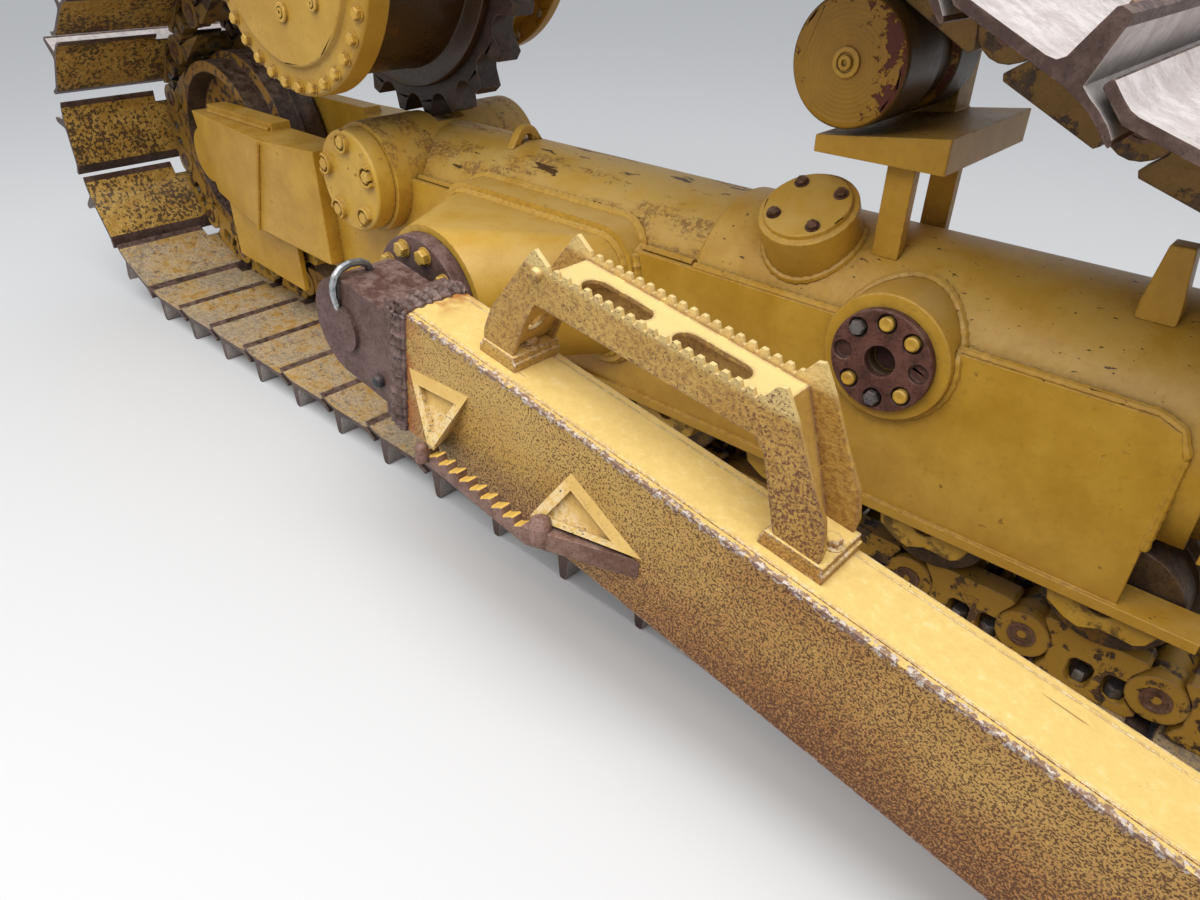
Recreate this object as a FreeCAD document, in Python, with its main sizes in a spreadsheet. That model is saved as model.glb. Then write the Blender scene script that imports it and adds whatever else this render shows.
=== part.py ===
import FreeCAD, Part
import math
import os
import Sketcher

# Right-hand running gear of a crawler tractor: a track frame with its idlers,
# rollers, chain and wide shoes, the raised final drive, and the blade's push arm
# with its two steps. Millimetres. +X is forwards, +Y is inboard, +Z is up, and the
# origin is on the pivot shaft's axis at the middle of the chain.

V = FreeCAD.Vector
doc = FreeCAD.newDocument("running_gear")
sheet = doc.addObject("Spreadsheet::Sheet", "Sizes")

# name, millimetres or a count or degrees, what it is
DRIVING = [
    ("ground_drop", 642, "pivot shaft's height above the ground"),
    ("track_pitch", 216, "pin to pin"),
    ("link_count", 43, "links in one track"),
    ("shoe_width", 914, "wide shoe for soft ground"),
    ("shoe_plate", 13, "thickness of the shoe's plate"),
    ("shoe_seat", 68, "pin line to the shoe"),
    ("grouser_height", 66, "bar under the plate"),
    ("grouser_root", 33, "bar's thickness at the plate"),
    ("grouser_tip", 18, "bar's thickness at its tip"),
    ("grouser_back", 52, "bar's middle from the link's rear pin"),
    ("lip_start", 28, "where the shoe's front lip turns up, before the next pin"),
    ("lip_reach", 9, "how far the lip laps past the next pin"),
    ("lip_rise", 19, "lip's edge over the plate"),
    ("tail_start", 46, "where the shoe's tail bends in, ahead of its own pin"),
    ("tail_reach", 21, "how far the tail tucks under the shoe behind"),
    ("tail_drop", 10, "tail's edge under the shoe's seat"),
    ("rail_seat", 60, "pin line to the rail that the rollers run on"),
    ("link_neck", 42, "half height of a link round its pin"),
    ("strand_inner", 67, "chain's middle to a strand's inner face"),
    ("strand_outer", 113, "chain's middle to a strand's outer face"),
    ("bushing_radius", 31, "bushing over its corners, between the strands"),
    ("bushing_sides", 8, "flats of a bushing"),
    ("track_phase", -6, "a pin's X on the bottom run"),
    ("fore_sag", 1700, "curve of the slack run ahead of the carrier roller"),
    ("rear_sag", 4300, "curve of the slack run behind it"),
    ("running_gap", 0.3, "seat of a roller, idler or tooth on the chain"),
    ("working_room", 11, "left round the sprocket's teeth"),
    ("idler_tread", 284, "radius under the rails"),
    ("idler_flange", 306, "radius of the middle flange"),
    ("idler_half", 115, "half width over the treads"),
    ("idler_axle", 55, "radius of an idler's axle"),
    ("idler_hub", 120, "radius of an idler's hub"),
    ("idler_web", 52, "half thickness of an idler's web"),
    ("idler_web_root", 150, "where the web meets the hub"),
    ("idler_web_rim", 238, "where the web meets the rim"),
    ("idler_rim", 250, "inside of the rim at its edge"),
    ("idler_land", 44, "inner edge of an idler's tread"),
    ("idler_crown", 34, "half width of the middle flange's top"),
    ("rear_idler_x", -1048, "rear idler's axle"),
    ("bearing_radius", 88, "idler's bearing blocks"),
    ("bearing_wall", 62, "idler's bearing blocks"),
    ("bearing_seat", 1, "idler to its bearing blocks"),
    ("sprocket_x", -39, "final drive's axle"),
    ("sprocket_z", 536, "final drive's axle"),
    ("sprocket_teeth", 23, "two turns of it pass this many links"),
    ("sprocket_half", 32, "half the sprocket's thickness"),
    ("tooth_tip", 420, "sprocket's outer radius"),
    ("drum_radius", 300, "final drive's drum"),
    ("drum_outboard", 290, "drum's outboard face"),
    ("drum_inboard", 60, "drum's inboard face"),
    ("drum_flange", 46, "sprocket's seat over the drum"),
    ("drum_flange_wall", 22, "that seat's thickness"),
    ("cover_rim", 333, "final drive cover's radius"),
    ("cover_wall", 60, "cover's thickness at its bolts"),
    ("cover_bevel", 8, "bevels of the drum and its cover"),
    ("cover_disc", 275, "raised middle of the cover"),
    ("cover_disc_wall", 12, "how far that middle stands out"),
    ("housing_root", 262, "fixed housing's radius at the drum"),
    ("housing_waist", 240, "fixed housing's radius in its middle"),
    ("housing_taper", 130, "length of the housing's taper"),
    ("housing_flange", 286, "housing's flange radius"),
    ("housing_flange_wall", 28, "housing's flange"),
    ("housing_face", 268, "housing's mounting face"),
    ("drive_bolt_circle", 264, "radius of the final drive's mounting bolts"),
    ("drive_bolt_hole", 11, "radius of those holes"),
    ("drive_bolts", 16, "mounting bolts"),
    ("carrier_x", 1231, "carrier roller's axle"),
    ("carrier_z", 389, "carrier roller's axle"),
    ("carrier_radius", 97, "carrier roller's tread"),
    ("carrier_slack", 13, "how far the pin curve stands off that roller"),
    ("carrier_outboard", 150, "carrier roller's outboard face"),
    ("carrier_inboard", 118, "carrier roller's inboard face"),
    ("carrier_groove", 30, "half width of the roller's middle groove"),
    ("carrier_groove_depth", 14, "depth of that groove"),
    ("carrier_bevel", 6, "bevels of the roller"),
    ("carrier_axle", 46, "carrier roller's axle radius"),
    ("carrier_axle_end", 190, "inboard end of that axle"),
    ("clamp_radius", 72, "clamp round that axle"),
    ("clamp_start", 124, "clamp's outboard face"),
    ("bracket_low", 248, "underside of the carrier bracket's bar"),
    ("bracket_wall", 27, "thickness of that bar at its rear end"),
    ("bracket_rise", 27, "how much thicker its front end is"),
    ("bracket_rear", 47, "bar's rear end behind the carrier roller's axle"),
    ("bracket_front", 177, "bar's front end ahead of it"),
    ("bracket_outboard", 130, "bar's outboard end"),
    ("bracket_leg", 47, "length of a bracket's leg along the tube"),
    ("bracket_leg_side", 100, "outboard face of a leg"),
    ("bracket_leg_wall", 20, "thickness of a leg"),
    ("roller_count", 9, "bottom rollers"),
    ("roller_pitch", 290, "bottom rollers' spacing"),
    ("roller_start", -500, "rearmost bottom roller"),
    ("roller_tread", 102, "bottom roller's radius"),
    ("roller_flange", 120, "bottom roller's flange radius"),
    ("roller_waist", 78, "radius between a roller's flanges"),
    ("roller_land", 42, "inner edge of a roller's tread"),
    ("roller_groove", 22, "half width between a roller's flanges"),
    ("roller_half", 126, "half a bottom roller's length"),
    ("collar_wall", 58, "thickness of a roller's end collar"),
    ("collar_half", 81, "half length of a collar"),
    ("collar_pocket", 21, "radius of the bolt's recess in a collar"),
    ("collar_pocket_depth", 12, "depth of that recess"),
    ("tube_z", -65, "tube's middle below the pivot"),
    ("rear_tube", 178, "rear tube's outer radius"),
    ("front_tube", 188, "front tube's outer radius"),
    ("tube_wall", 22, "wall of both tubes"),
    ("tube_joint_x", 994, "where the front tube starts"),
    ("tube_end_x", 1880, "front end of the front tube"),
    ("frame_side", 194, "outer face of the frame's side plates"),
    ("side_wall", 13, "side plate's thickness"),
    ("frame_bottom", -316, "underside of the rails over the rollers"),
    ("frame_top", 15, "top edge of the side plates"),
    ("frame_front", 1836, "front end of the side plates"),
    ("frame_round", 45, "side plate's rounded front corner"),
    ("belly_z", -205, "underside of the plate over the rollers"),
    ("belly_wall", 14, "thickness of that plate"),
    ("rail_wall", 20, "rails' thickness"),
    ("rail_inside", 130, "rails' inner edge"),
    ("rail_lip", 8, "how far the rails stand out of the side plates"),
    ("rail_rear", -640, "rear end of the rails"),
    ("rail_front", 1950, "front end of the rails"),
    ("fork_rear", -990, "rear end of the rear fork"),
    ("fork_front", -246, "front end of the rear fork"),
    ("fork_top", 22, "top of the rear fork"),
    ("fork_inside", 127, "fork arm's inner face"),
    ("fork_rear_side", 219, "fork's outer face at its rear end"),
    ("fork_front_side", 236, "fork's outer face at its front end"),
    ("fork_fold", -461, "top of the fold in the fork's side"),
    ("fork_fold_side", 276, "fork's outer face at that fold"),
    ("fold_foot", -568, "foot of the fold"),
    ("fold_foot_z", -252, "foot of the fold"),
    ("fork_heel", 60, "how far the fork's rear end leans forwards"),
    ("fork_heel_drop", 90, "heel of the fork under the idler's axle"),
    ("fork_neck", 60, "neck's lap on the fork's arms"),
    ("fork_neck_depth", 190, "underside of the neck"),
    ("guard_wall", 16, "guard plate outside the rear rollers"),
    ("guard_depth", 124, "guard plate under the rails' top"),
    ("guard_rear", -870, "guard plate's rear end"),
    ("guard_front", -468, "guard plate's front end"),
    ("ledge_wall", 22, "ledge on the fork beside the idler"),
    ("ledge_width", 62, "that ledge's width"),
    ("ledge_rear", -940, "that ledge's rear end"),
    ("ledge_front", -540, "that ledge's front end"),
    ("yoke_arm", 40, "front yoke's arms"),
    ("yoke_depth", 150, "front yoke's arms, top to bottom"),
    ("yoke_head", 230, "front yoke's head, top to bottom"),
    ("yoke_insert", 300, "yoke's slide inside the front tube"),
    ("yoke_gap", 20, "front tube's end to the yoke's head"),
    ("hub_radius", 135, "pivot housing"),
    ("hub_inboard", 235, "pivot housing's inboard face"),
    ("hub_outboard", 235, "pivot housing's outboard face"),
    ("pivot_bore", 65, "radius of the pivot shaft's bore"),
    ("bore_bottom", 200, "how far outboard the bore reaches"),
    ("cap_radius", 124, "pivot cap"),
    ("cap_wall", 50, "pivot cap's thickness"),
    ("cap_bevel", 5, "pivot cap's bevelled edge"),
    ("cap_bolts", 5, "bolts of the pivot cap"),
    ("cap_bolt_circle", 96, "radius of their circle"),
    ("cap_rim", 27, "raised rim round each of those bolts"),
    ("cap_rim_wall", 7, "that rim's thickness"),
    ("cap_rim_height", 14, "that rim's height"),
    ("trunnion_x", 560, "push arm's ball"),
    ("trunnion_z", -88, "push arm's ball"),
    ("arm_clear", 85, "shoes to the push arm's inner face"),
    ("ball_radius", 70, "ball"),
    ("ball_stub", 107, "ball's middle to the flange's face"),
    ("neck_radius", 46, "stub between the flange and the ball"),
    ("stub_room", 12, "round the stub, where it passes into the socket"),
    ("flange_radius", 134, "trunnion flange"),
    ("flange_wall", 35, "flange's thickness"),
    ("tower_tip", 146, "tower's radius at the flange"),
    ("tower_rear", 280, "plate under the tower, behind the trunnion"),
    ("tower_front", 310, "plate under the tower, ahead of the trunnion"),
    ("tower_up", 142, "plate under the tower, over the trunnion"),
    ("tower_down", 157, "plate under the tower, below the trunnion"),
    ("tower_corner", 85, "rounded corners of that plate"),
    ("saddle_wall", 16, "thickness of that plate"),
    ("saddle_edge", 20, "how far that plate shows round the tower"),
    ("plate_reach", 134, "how far plates and bosses reach in to the tube"),
    ("guide_x", 1410, "bolted disc ahead of the tower"),
    ("guide_z", -22, "bolted disc ahead of the tower"),
    ("guide_radius", 86, "bolted disc"),
    ("guide_face", 231, "disc's outer face"),
    ("guide_wall", 16, "disc's thickness"),
    ("guide_hole", 26, "radius of the hole in its middle"),
    ("guide_hole_depth", 46, "how deep that hole goes"),
    ("guide_bolts", 8, "bolts of that disc"),
    ("guide_bolt_circle", 65, "radius of their circle"),
    ("guide_pocket", 16, "radius of each bolt's counterbore"),
    ("guide_pocket_depth", 9, "depth of that counterbore"),
    ("guide_boss", 108, "boss behind the disc"),
    ("cover_back", 43, "round cover behind the carrier roller's axle"),
    ("lid_lean", 30, "round cover's lean from upright, degrees"),
    ("lid_radius", 75, "round cover"),
    ("lid_wall", 10, "round cover's thickness"),
    ("lid_boss", 86, "radius of the boss under it"),
    ("lid_reach", 262, "cover's outer face from the tube's axis"),
    ("eye_x", 346, "lifting eye's rear face on the rear tube"),
    ("eye_wall", 22, "lifting eye's thickness"),
    ("eye_side", 12, "lifting eye's middle, outboard"),
    ("eye_outside", 36, "lifting eye's rounded top"),
    ("eye_hole", 16, "lifting eye's hole"),
    ("eye_foot", 70, "half the lifting eye's foot"),
    ("prop_x", 1730, "small upright bracket on the front tube"),
    ("prop_foot", 27, "half its foot"),
    ("prop_top", 16, "half its top"),
    ("prop_height", 275, "its top over the tube's axis"),
    ("prop_side", 90, "its outboard face"),
    ("prop_wall", 34, "its thickness"),
    ("arm_width", 132, "push arm"),
    ("arm_height", 253, "push arm"),
    ("arm_wall", 16, "push arm's plates"),
    ("weld_step", 2.5, "side plates' edges under the top plate"),
    ("arm_slope", 9.6, "push arm's fall towards the blade, degrees"),
    ("arm_start", 172, "beam's rear end from the ball"),
    ("block_start", 126, "rear face of the socket's square end"),
    ("socket_radius", 98, "round part of the socket"),
    ("socket_gap", 0.5, "ball to socket"),
    ("socket_split", -14, "joint between the socket and its cap"),
    ("socket_plug", 44, "radius of the plug in the socket's outer side"),
    ("plug_wall", 8, "how far the plug stands out"),
    ("blade_pin", 2280, "blade pin from the ball"),
    ("blade_bore", 40, "blade pin bore's radius"),
    ("blade_eye", 112, "outside of the front eye"),
    ("blade_eye_reach", 150, "blade pin ahead of the beam's end"),
    ("blade_eye_gap", 60, "slot between the front eye's ears"),
    ("lug_back", 400, "brace lug's pin behind the blade pin"),
    ("lug_bore", 25, "brace lug's bore"),
    ("lug_foot", 70, "half the brace lug's length"),
    ("lug_outside", 55, "brace lug's rounded top"),
    ("lug_wall", 40, "brace lug's thickness"),
    ("lug_rise", 60, "brace lug's pin over the arm"),
    ("step_pad", 25, "pads under the top step"),
    ("pad_wall", 15, "lower plate of a pad"),
    ("pad_inset", 5, "upper plate's edge inside the lower one's"),
    ("pad_outer", -36, "pads' outer edge across the arm"),
    ("pad_inner", 64, "pads' inner edge across the arm"),
    ("rear_pad", 84, "length of the rear pad"),
    ("front_pad", 100, "length of the front pad"),
    ("step_outer", -32, "top step's outer face across the arm"),
    ("step_inner", 63, "top step's inner face across the arm"),
    ("step_plate", 8, "top step's plate"),
    ("step_rise", 205, "top step's teeth over the arm"),
    ("step_rear", 452, "top step's rear corner along the arm"),
    ("step_front", 859, "top step's front corner along the arm"),
    ("step_deep", 66, "depth of the top step's side plates"),
    ("tooth_pitch", 19.8, "teeth of the top step"),
    ("tooth_depth", 9, "depth of the notches between them"),
    ("tooth_count", 19, "notches along the top step"),
    ("web_down", 15, "top step's web under its teeth"),
    ("slot_spread", 84, "step's middle to the middle of a slot in the web"),
    ("slot_half", 40, "half the straight part of a slot"),
    ("slot_radius", 21, "rounded ends of a slot"),
    ("slot_side", 7, "slots' middle across the arm"),
    ("leg_hole", 17, "radius of the holes in the step's legs"),
    ("low_step_slope", 3.6, "side step's fall, degrees"),
    ("low_step_drop", 95, "side step under the ball"),
    ("low_step_reach", 137, "side step's bar across from the ball"),
    ("low_step_splay", 18, "how much nearer to the arm its rear bend is"),
    ("low_step_rear", 305, "side step's rear bend from the ball"),
    ("low_step_front", 570, "side step's front bend from the ball"),
    ("low_step_depth", 36, "side step's bar, top to bottom"),
    ("low_step_bar", 22, "side step's bar, side to side"),
    ("low_tooth_pitch", 29.4, "teeth of the side step"),
    ("low_tooth_depth", 14, "depth of the notches between them"),
    ("low_tooth_count", 9, "notches along the side step"),
    ("recess_depth", 12, "recess in a side step's bracket"),
]
# name, how it follows from the sizes above, what it is
FOLLOWING = [
    ("pin_line", "-ground_drop + grouser_height + shoe_plate + shoe_seat", "bottom run's pins"),
    ("idler_pin_circle", "sqrt((idler_tread + running_gap + rail_seat)^2 + (track_pitch / 2)^2)",
     "radius of the pins round an idler"),
    ("idler_z", "pin_line + idler_pin_circle", "both idlers' axles"),
    ("sprocket_pin_circle", "track_pitch / (2 * sin(360 deg / sprocket_teeth))",
     "radius of the pins round the sprocket"),
    ("roller_z", "pin_line + rail_seat + running_gap + roller_tread", "bottom rollers' axles"),
    ("frame_floor", "frame_bottom + rail_wall", "top of the rails"),
    ("belly_top", "belly_z + belly_wall", "top of the plate over the rollers"),
    ("ball_out", "shoe_width / 2 + arm_clear + arm_width / 2", "ball's distance from the chain's middle"),
    ("flange_face", "ball_out - ball_stub", "trunnion flange's outer face"),
    ("lid_x", "carrier_x - cover_back", "round cover on the front tube"),
    ("arm_top", "arm_height / 2", "top of the push arm"),
    ("arm_face", "-arm_width / 2", "outer face of the push arm"),
    ("arm_end", "blade_pin - blade_eye_reach", "beam's front end from the ball"),
    ("lug_along", "blade_pin - lug_back", "brace lug's pin from the ball"),
    ("pad_top", "arm_height / 2 + step_pad", "top of the step's pads"),
    ("step_top", "arm_height / 2 + step_rise", "tips of the top step's teeth"),
    ("step_legs", "step_rise - step_pad", "height of the top step over its pads"),
]
for row, (alias, value, meaning) in enumerate(DRIVING, start=1):
    sheet.set("A%d" % row, meaning)
    sheet.set("B%d" % row, str(value))
    sheet.setAlias("B%d" % row, alias)
for row, (alias, formula, meaning) in enumerate(FOLLOWING, start=len(DRIVING) + 1):
    sheet.set("A%d" % row, meaning)
    sheet.set("B%d" % row, "=" + formula)
    sheet.setAlias("B%d" % row, alias)
FRONT_IDLER_CELL = "B%d" % (len(DRIVING) + len(FOLLOWING) + 1)
sheet.set(FRONT_IDLER_CELL, "0")
sheet.setAlias(FRONT_IDLER_CELL, "front_idler_x")
doc.recompute()

FULL_TURN = 360
SIDES = ((1, "inboard"), (-1, "outboard"))
subparts = []


def size(formula):
    """A number worked out from the sheet."""
    return float(sheet.evalExpression(formula))


def keep(piece, label):
    piece.Label = label
    subparts.append(piece)
    return piece


def bind(piece, **formulas):
    for name, formula in formulas.items():
        piece.setExpression(name, formula)
    return piece


def put(piece, x="0", y="0", z="0", axis=V(0, 0, 1), turn="0"):
    """Place a piece by formulas, turned about an axis by a formula in degrees."""
    piece.Placement = FreeCAD.Placement(V(0, 0, 0), FreeCAD.Rotation(axis, size(turn)))
    for name, formula in (("x", x), ("y", y), ("z", z)):
        piece.setExpression("Placement.Base." + name, formula)
    if turn != "0":
        piece.setExpression("Placement.Rotation.Angle", turn)
    return piece


def put_on_arm(piece):
    """The push arm's pieces are drawn along the arm, from the ball's middle."""
    return put(piece, "Sizes.trunnion_x", "-Sizes.ball_out", "Sizes.trunnion_z",
               V(0, 1, 0), "Sizes.arm_slope")


def plane_of(body, role):
    return next(item for item in body.Origin.OriginFeatures if item.Role == role)


def outline(body, name, role, corners, away="0"):
    """A closed sketch of straight edges, each corner tied to the sheet by two formulas."""
    sketch = body.newObject("Sketcher::SketchObject", name)
    sketch.AttachmentSupport = (plane_of(body, role), "")
    sketch.MapMode = "FlatFace"
    sketch.setExpression("AttachmentOffset.Base.z", away)
    points = [V(size(across), size(up), 0) for across, up in corners]
    for index, point in enumerate(points):
        sketch.addGeometry(Part.LineSegment(point, points[(index + 1) % len(points)]), False)
    for index in range(len(points)):
        sketch.addConstraint(Sketcher.Constraint("Coincident", index, 2,
                                                 (index + 1) % len(points), 1))
    for index, (across, up) in enumerate(corners):
        for kind, formula, value in (("DistanceX", across, points[index].x),
                                     ("DistanceY", up, points[index].y)):
            tie = sketch.addConstraint(Sketcher.Constraint(kind, -1, 1, index, 1, value))
            sketch.setExpression("Constraints[%d]" % tie, formula)
    return sketch


def circles(body, name, role, rings, away="0"):
    """A sketch of circles, each a row of across, up and radius formulas."""
    sketch = body.newObject("Sketcher::SketchObject", name)
    sketch.AttachmentSupport = (plane_of(body, role), "")
    sketch.MapMode = "FlatFace"
    sketch.setExpression("AttachmentOffset.Base.z", away)
    for index, (across, up, radius) in enumerate(rings):
        centre = V(size(across), size(up), 0)
        sketch.addGeometry(Part.Circle(centre, V(0, 0, 1), size(radius)), False)
        for kind, formula, value in (("DistanceX", across, centre.x),
                                     ("DistanceY", up, centre.y)):
            tie = sketch.addConstraint(Sketcher.Constraint(kind, -1, 1, index, 3, value))
            sketch.setExpression("Constraints[%d]" % tie, formula)
        tie = sketch.addConstraint(Sketcher.Constraint("Radius", index, size(radius)))
        sketch.setExpression("Constraints[%d]" % tie, radius)
    return sketch


def pad(body, sketch, length, both_ways=False, backwards=False):
    feature = body.newObject("PartDesign::Pad", sketch.Name + "_pad")
    feature.Profile = sketch
    feature.setExpression("Length", length)
    feature.Reversed = backwards
    if both_ways:
        feature.SideType = "Symmetric"
    return feature


def pocket(body, sketch, depth, backwards=False):
    feature = body.newObject("PartDesign::Pocket", sketch.Name + "_cut")
    feature.Profile = sketch
    feature.setExpression("Length", depth)
    feature.Reversed = backwards
    return feature


def pocket_through(body, sketch):
    feature = body.newObject("PartDesign::Pocket", sketch.Name + "_cut")
    feature.Profile = sketch
    feature.SideType = "Symmetric"
    feature.Type = "ThroughAll"
    return feature


def row_of(body, name, features, pitch, count):
    """The same features again and again, one pitch apart along +X."""
    row = body.newObject("PartDesign::LinearPattern", name)
    row.Originals = features
    row.Direction = (plane_of(body, "X_Axis"), [""])
    bind(row, Length="%s * (%s - 1)" % (pitch, count), Occurrences=count)
    body.Tip = row
    return row


def ring_of(body, name, features, count):
    """The same features again and again round the body's cross axis."""
    ring = body.newObject("PartDesign::PolarPattern", name)
    ring.Originals = features
    ring.Axis = (plane_of(body, "Y_Axis"), [""])
    ring.Angle = FULL_TURN
    bind(ring, Occurrences=count)
    body.Tip = ring
    return ring


def turned(body, name, corners):
    """A turned piece on a cross axle: corners are across the track, then radius."""
    sketch = outline(body, name, "YZ_Plane", corners)
    feature = body.newObject("PartDesign::Revolution", name + "_turn")
    feature.Profile = sketch
    feature.ReferenceAxis = (sketch, ["H_Axis"])
    feature.Angle = FULL_TURN
    return feature


def new_body(label):
    body = doc.addObject("PartDesign::Body", label)
    body.AllowCompound = True
    return body


def upright_plate(name, corners, low_y, wall):
    """A plate that stands along the track, its corners given along and up."""
    body = new_body(name)
    pad(body, outline(body, name + "_edge", "XZ_Plane", corners, "-(%s)" % low_y), wall, backwards=True)
    return body


def block(low, lengths):
    """A box from its low corner and its three lengths, all formulas."""
    piece = doc.addObject("Part::Box", "block")
    bind(piece, Length=lengths[0], Width=lengths[1], Height=lengths[2])
    return put(piece, *low)


def bar(radius, length, start, along="Y"):
    """A round bar from its start point along +X, +Y or +Z."""
    piece = doc.addObject("Part::Cylinder", "bar")
    bind(piece, Radius=radius, Height=length)
    axis, turn = {"X": (V(0, 1, 0), "90"), "Y": (V(1, 0, 0), "-90"), "Z": (V(0, 0, 1), "0")}[along]
    return put(piece, *start, axis=axis, turn=turn)


def fuse(*pieces):
    joined = doc.addObject("Part::MultiFuse", "joined")
    joined.Shapes = list(pieces)
    return joined


def cut(base, *tools):
    result = doc.addObject("Part::Cut", "trimmed")
    result.Base = base
    result.Tool = tools[0] if len(tools) == 1 else fuse(*tools)
    return result


def own_shape(name, shape):
    """A piece whose faces no plain solid has."""
    piece = doc.addObject("Part::Feature", name)
    piece.Shape = shape
    piece.Placement = FreeCAD.Placement()
    return piece


# The chain's pins follow one closed curve: flat along the ground, round the front
# idler, slack over the carrier roller to the sprocket, and down round the rear idler.

def arc_between(first, first_radius, second, second_radius, bend):
    """Centre of a hanging curve of radius bend that rests on two round things."""
    reach_a = bend + first_radius
    reach_b = bend + second_radius
    gap = second - first
    along = (reach_a ** 2 - reach_b ** 2 + gap.Length ** 2) / (2 * gap.Length)
    rise = math.sqrt(reach_a ** 2 - along ** 2)
    unit = gap / gap.Length
    side = V(-unit.z, 0, unit.x)
    if side.z < 0:
        side = -side
    return first + unit * along + side * rise


def angle_of(vector):
    return math.atan2(vector.z, vector.x)


def polar(centre, radius, angle):
    return centre + V(math.cos(angle), 0, math.sin(angle)) * radius


def pin_curve(front_x):
    """The closed curve as rows of kind, centre or start, radius, first and last angle."""
    bottom = size("Sizes.pin_line")
    idler_z = size("Sizes.idler_z")
    idler_radius = size("Sizes.idler_pin_circle")
    fore_bend = size("Sizes.fore_sag")
    rear_bend = size("Sizes.rear_sag")
    start = V(size("Sizes.track_phase"), 0, bottom)
    front = V(front_x, 0, idler_z)
    rear = V(size("Sizes.rear_idler_x"), 0, idler_z)
    drive = V(size("Sizes.sprocket_x"), 0, size("Sizes.sprocket_z"))
    drive_radius = size("Sizes.sprocket_pin_circle")
    carrier = V(size("Sizes.carrier_x"), 0, size("Sizes.carrier_z"))
    carrier_radius = size("Sizes.carrier_radius + Sizes.rail_seat + Sizes.carrier_slack")
    fore_hang = arc_between(carrier, carrier_radius, front, idler_radius, fore_bend)
    rear_hang = arc_between(drive, drive_radius, carrier, carrier_radius, rear_bend)
    fore_touch = angle_of(fore_hang - front)
    carrier_fore = angle_of(fore_hang - carrier)
    carrier_rear = angle_of(rear_hang - carrier)
    drive_fore = angle_of(rear_hang - drive)
    drop = drive - rear
    lean = angle_of(drop) + math.asin((drive_radius - idler_radius) / drop.Length)
    leave = lean + math.pi / 2
    return [
        ("line", start, V(front_x, 0, bottom)),
        ("arc", front, idler_radius, -math.pi / 2, fore_touch),
        ("arc", fore_hang, fore_bend, fore_touch + math.pi, carrier_fore + math.pi),
        ("arc", carrier, carrier_radius, carrier_fore, carrier_rear),
        ("arc", rear_hang, rear_bend, carrier_rear + math.pi, drive_fore + math.pi),
        ("arc", drive, drive_radius, drive_fore, leave),
        ("line", polar(drive, drive_radius, leave), polar(rear, idler_radius, leave)),
        ("arc", rear, idler_radius, leave, 3 * math.pi / 2),
        ("line", V(rear.x, 0, bottom), start),
    ]


def run_length(run):
    if run[0] == "line":
        return (run[2] - run[1]).Length
    return abs(run[4] - run[3]) * run[2]


def point_on(curve, distance):
    for run in curve:
        length = run_length(run)
        if distance <= length or run is curve[-1]:
            share = distance / length
            if run[0] == "line":
                return run[1] + (run[2] - run[1]) * share
            return polar(run[1], run[2], run[3] + (run[4] - run[3]) * share)
        distance -= length


def walk_pins(curve, pitch, count):
    """Pins one pitch apart in a straight line, and the length of curve that they used."""
    total = sum(run_length(run) for run in curve)
    travelled = 0.0
    pins = [point_on(curve, 0.0)]
    for step in range(count):
        low = travelled + pitch
        high = travelled + 1.3 * pitch
        for halving in range(26):
            middle = (low + high) / 2
            if (point_on(curve, middle) - pins[-1]).Length < pitch:
                low = middle
            else:
                high = middle
        travelled = (low + high) / 2
        pins.append(point_on(curve, travelled))
    return pins, travelled - total


# The front idler is where its recoil spring holds it: where the chain just closes.
pitch = size("Sizes.track_pitch")
links = int(size("Sizes.link_count"))
nearest = size("Sizes.carrier_x + Sizes.idler_tread")
farthest = nearest + 8 * pitch
for halving in range(34):
    front_x = (nearest + farthest) / 2
    pins, overrun = walk_pins(pin_curve(front_x), pitch, links)
    if overrun > 0:
        nearest = front_x
    else:
        farthest = front_x
sheet.set(FRONT_IDLER_CELL, repr(front_x))
print("front idler at %.1f mm" % front_x)
doc.recompute()
pins = pins[:-1]


def link_frame(index):
    """A link's rear pin, its direction of travel and the way out to its shoe."""
    rear_pin = pins[index % links]
    along = (pins[(index + 1) % links] - rear_pin).normalize()
    return rear_pin, along, V(along.z, 0, -along.x)


def mitre(index, out):
    """Where the lines at one offset of two neighbouring links meet."""
    before = link_frame(index - 1)[2]
    rear_pin, along, after = link_frame(index)
    return rear_pin + (before + after) * (out / (1 + before.dot(after)))


def on_link(index, along_mm, out_mm):
    rear_pin, along, out = link_frame(index)
    return rear_pin + along * along_mm + out * out_mm


def band(outer, inner, low_y, high_y):
    """A closed band between two loops of points, thick from low_y to high_y."""
    def loop(points):
        return Part.makePolygon([p + V(0, low_y, 0) for p in points + points[:1]])
    face = Part.Face([loop(outer), loop(inner)])
    face.validate()
    return face.extrude(V(0, high_y - low_y, 0))


# The shoes lap like shingles in one loop. A shoe's tail tucks in under the shoe behind,
# its bar stands out near the rear pin, and its front lip turns up over the next tail.
seat = size("Sizes.shoe_seat")
plate = seat + size("Sizes.shoe_plate")
tip = plate + size("Sizes.grouser_height")
back = size("Sizes.grouser_back")
half_root = size("Sizes.grouser_root / 2")
half_tip = size("Sizes.grouser_tip / 2")
lip_bend = pitch - size("Sizes.lip_start")
lip_edge = pitch + size("Sizes.lip_reach")
lip_top = plate + size("Sizes.lip_rise")
wall = size("Sizes.shoe_plate")
tail_bend = size("Sizes.tail_start")
tail_edge = -size("Sizes.tail_reach")
tail_seat = seat - size("Sizes.tail_drop")
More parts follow.
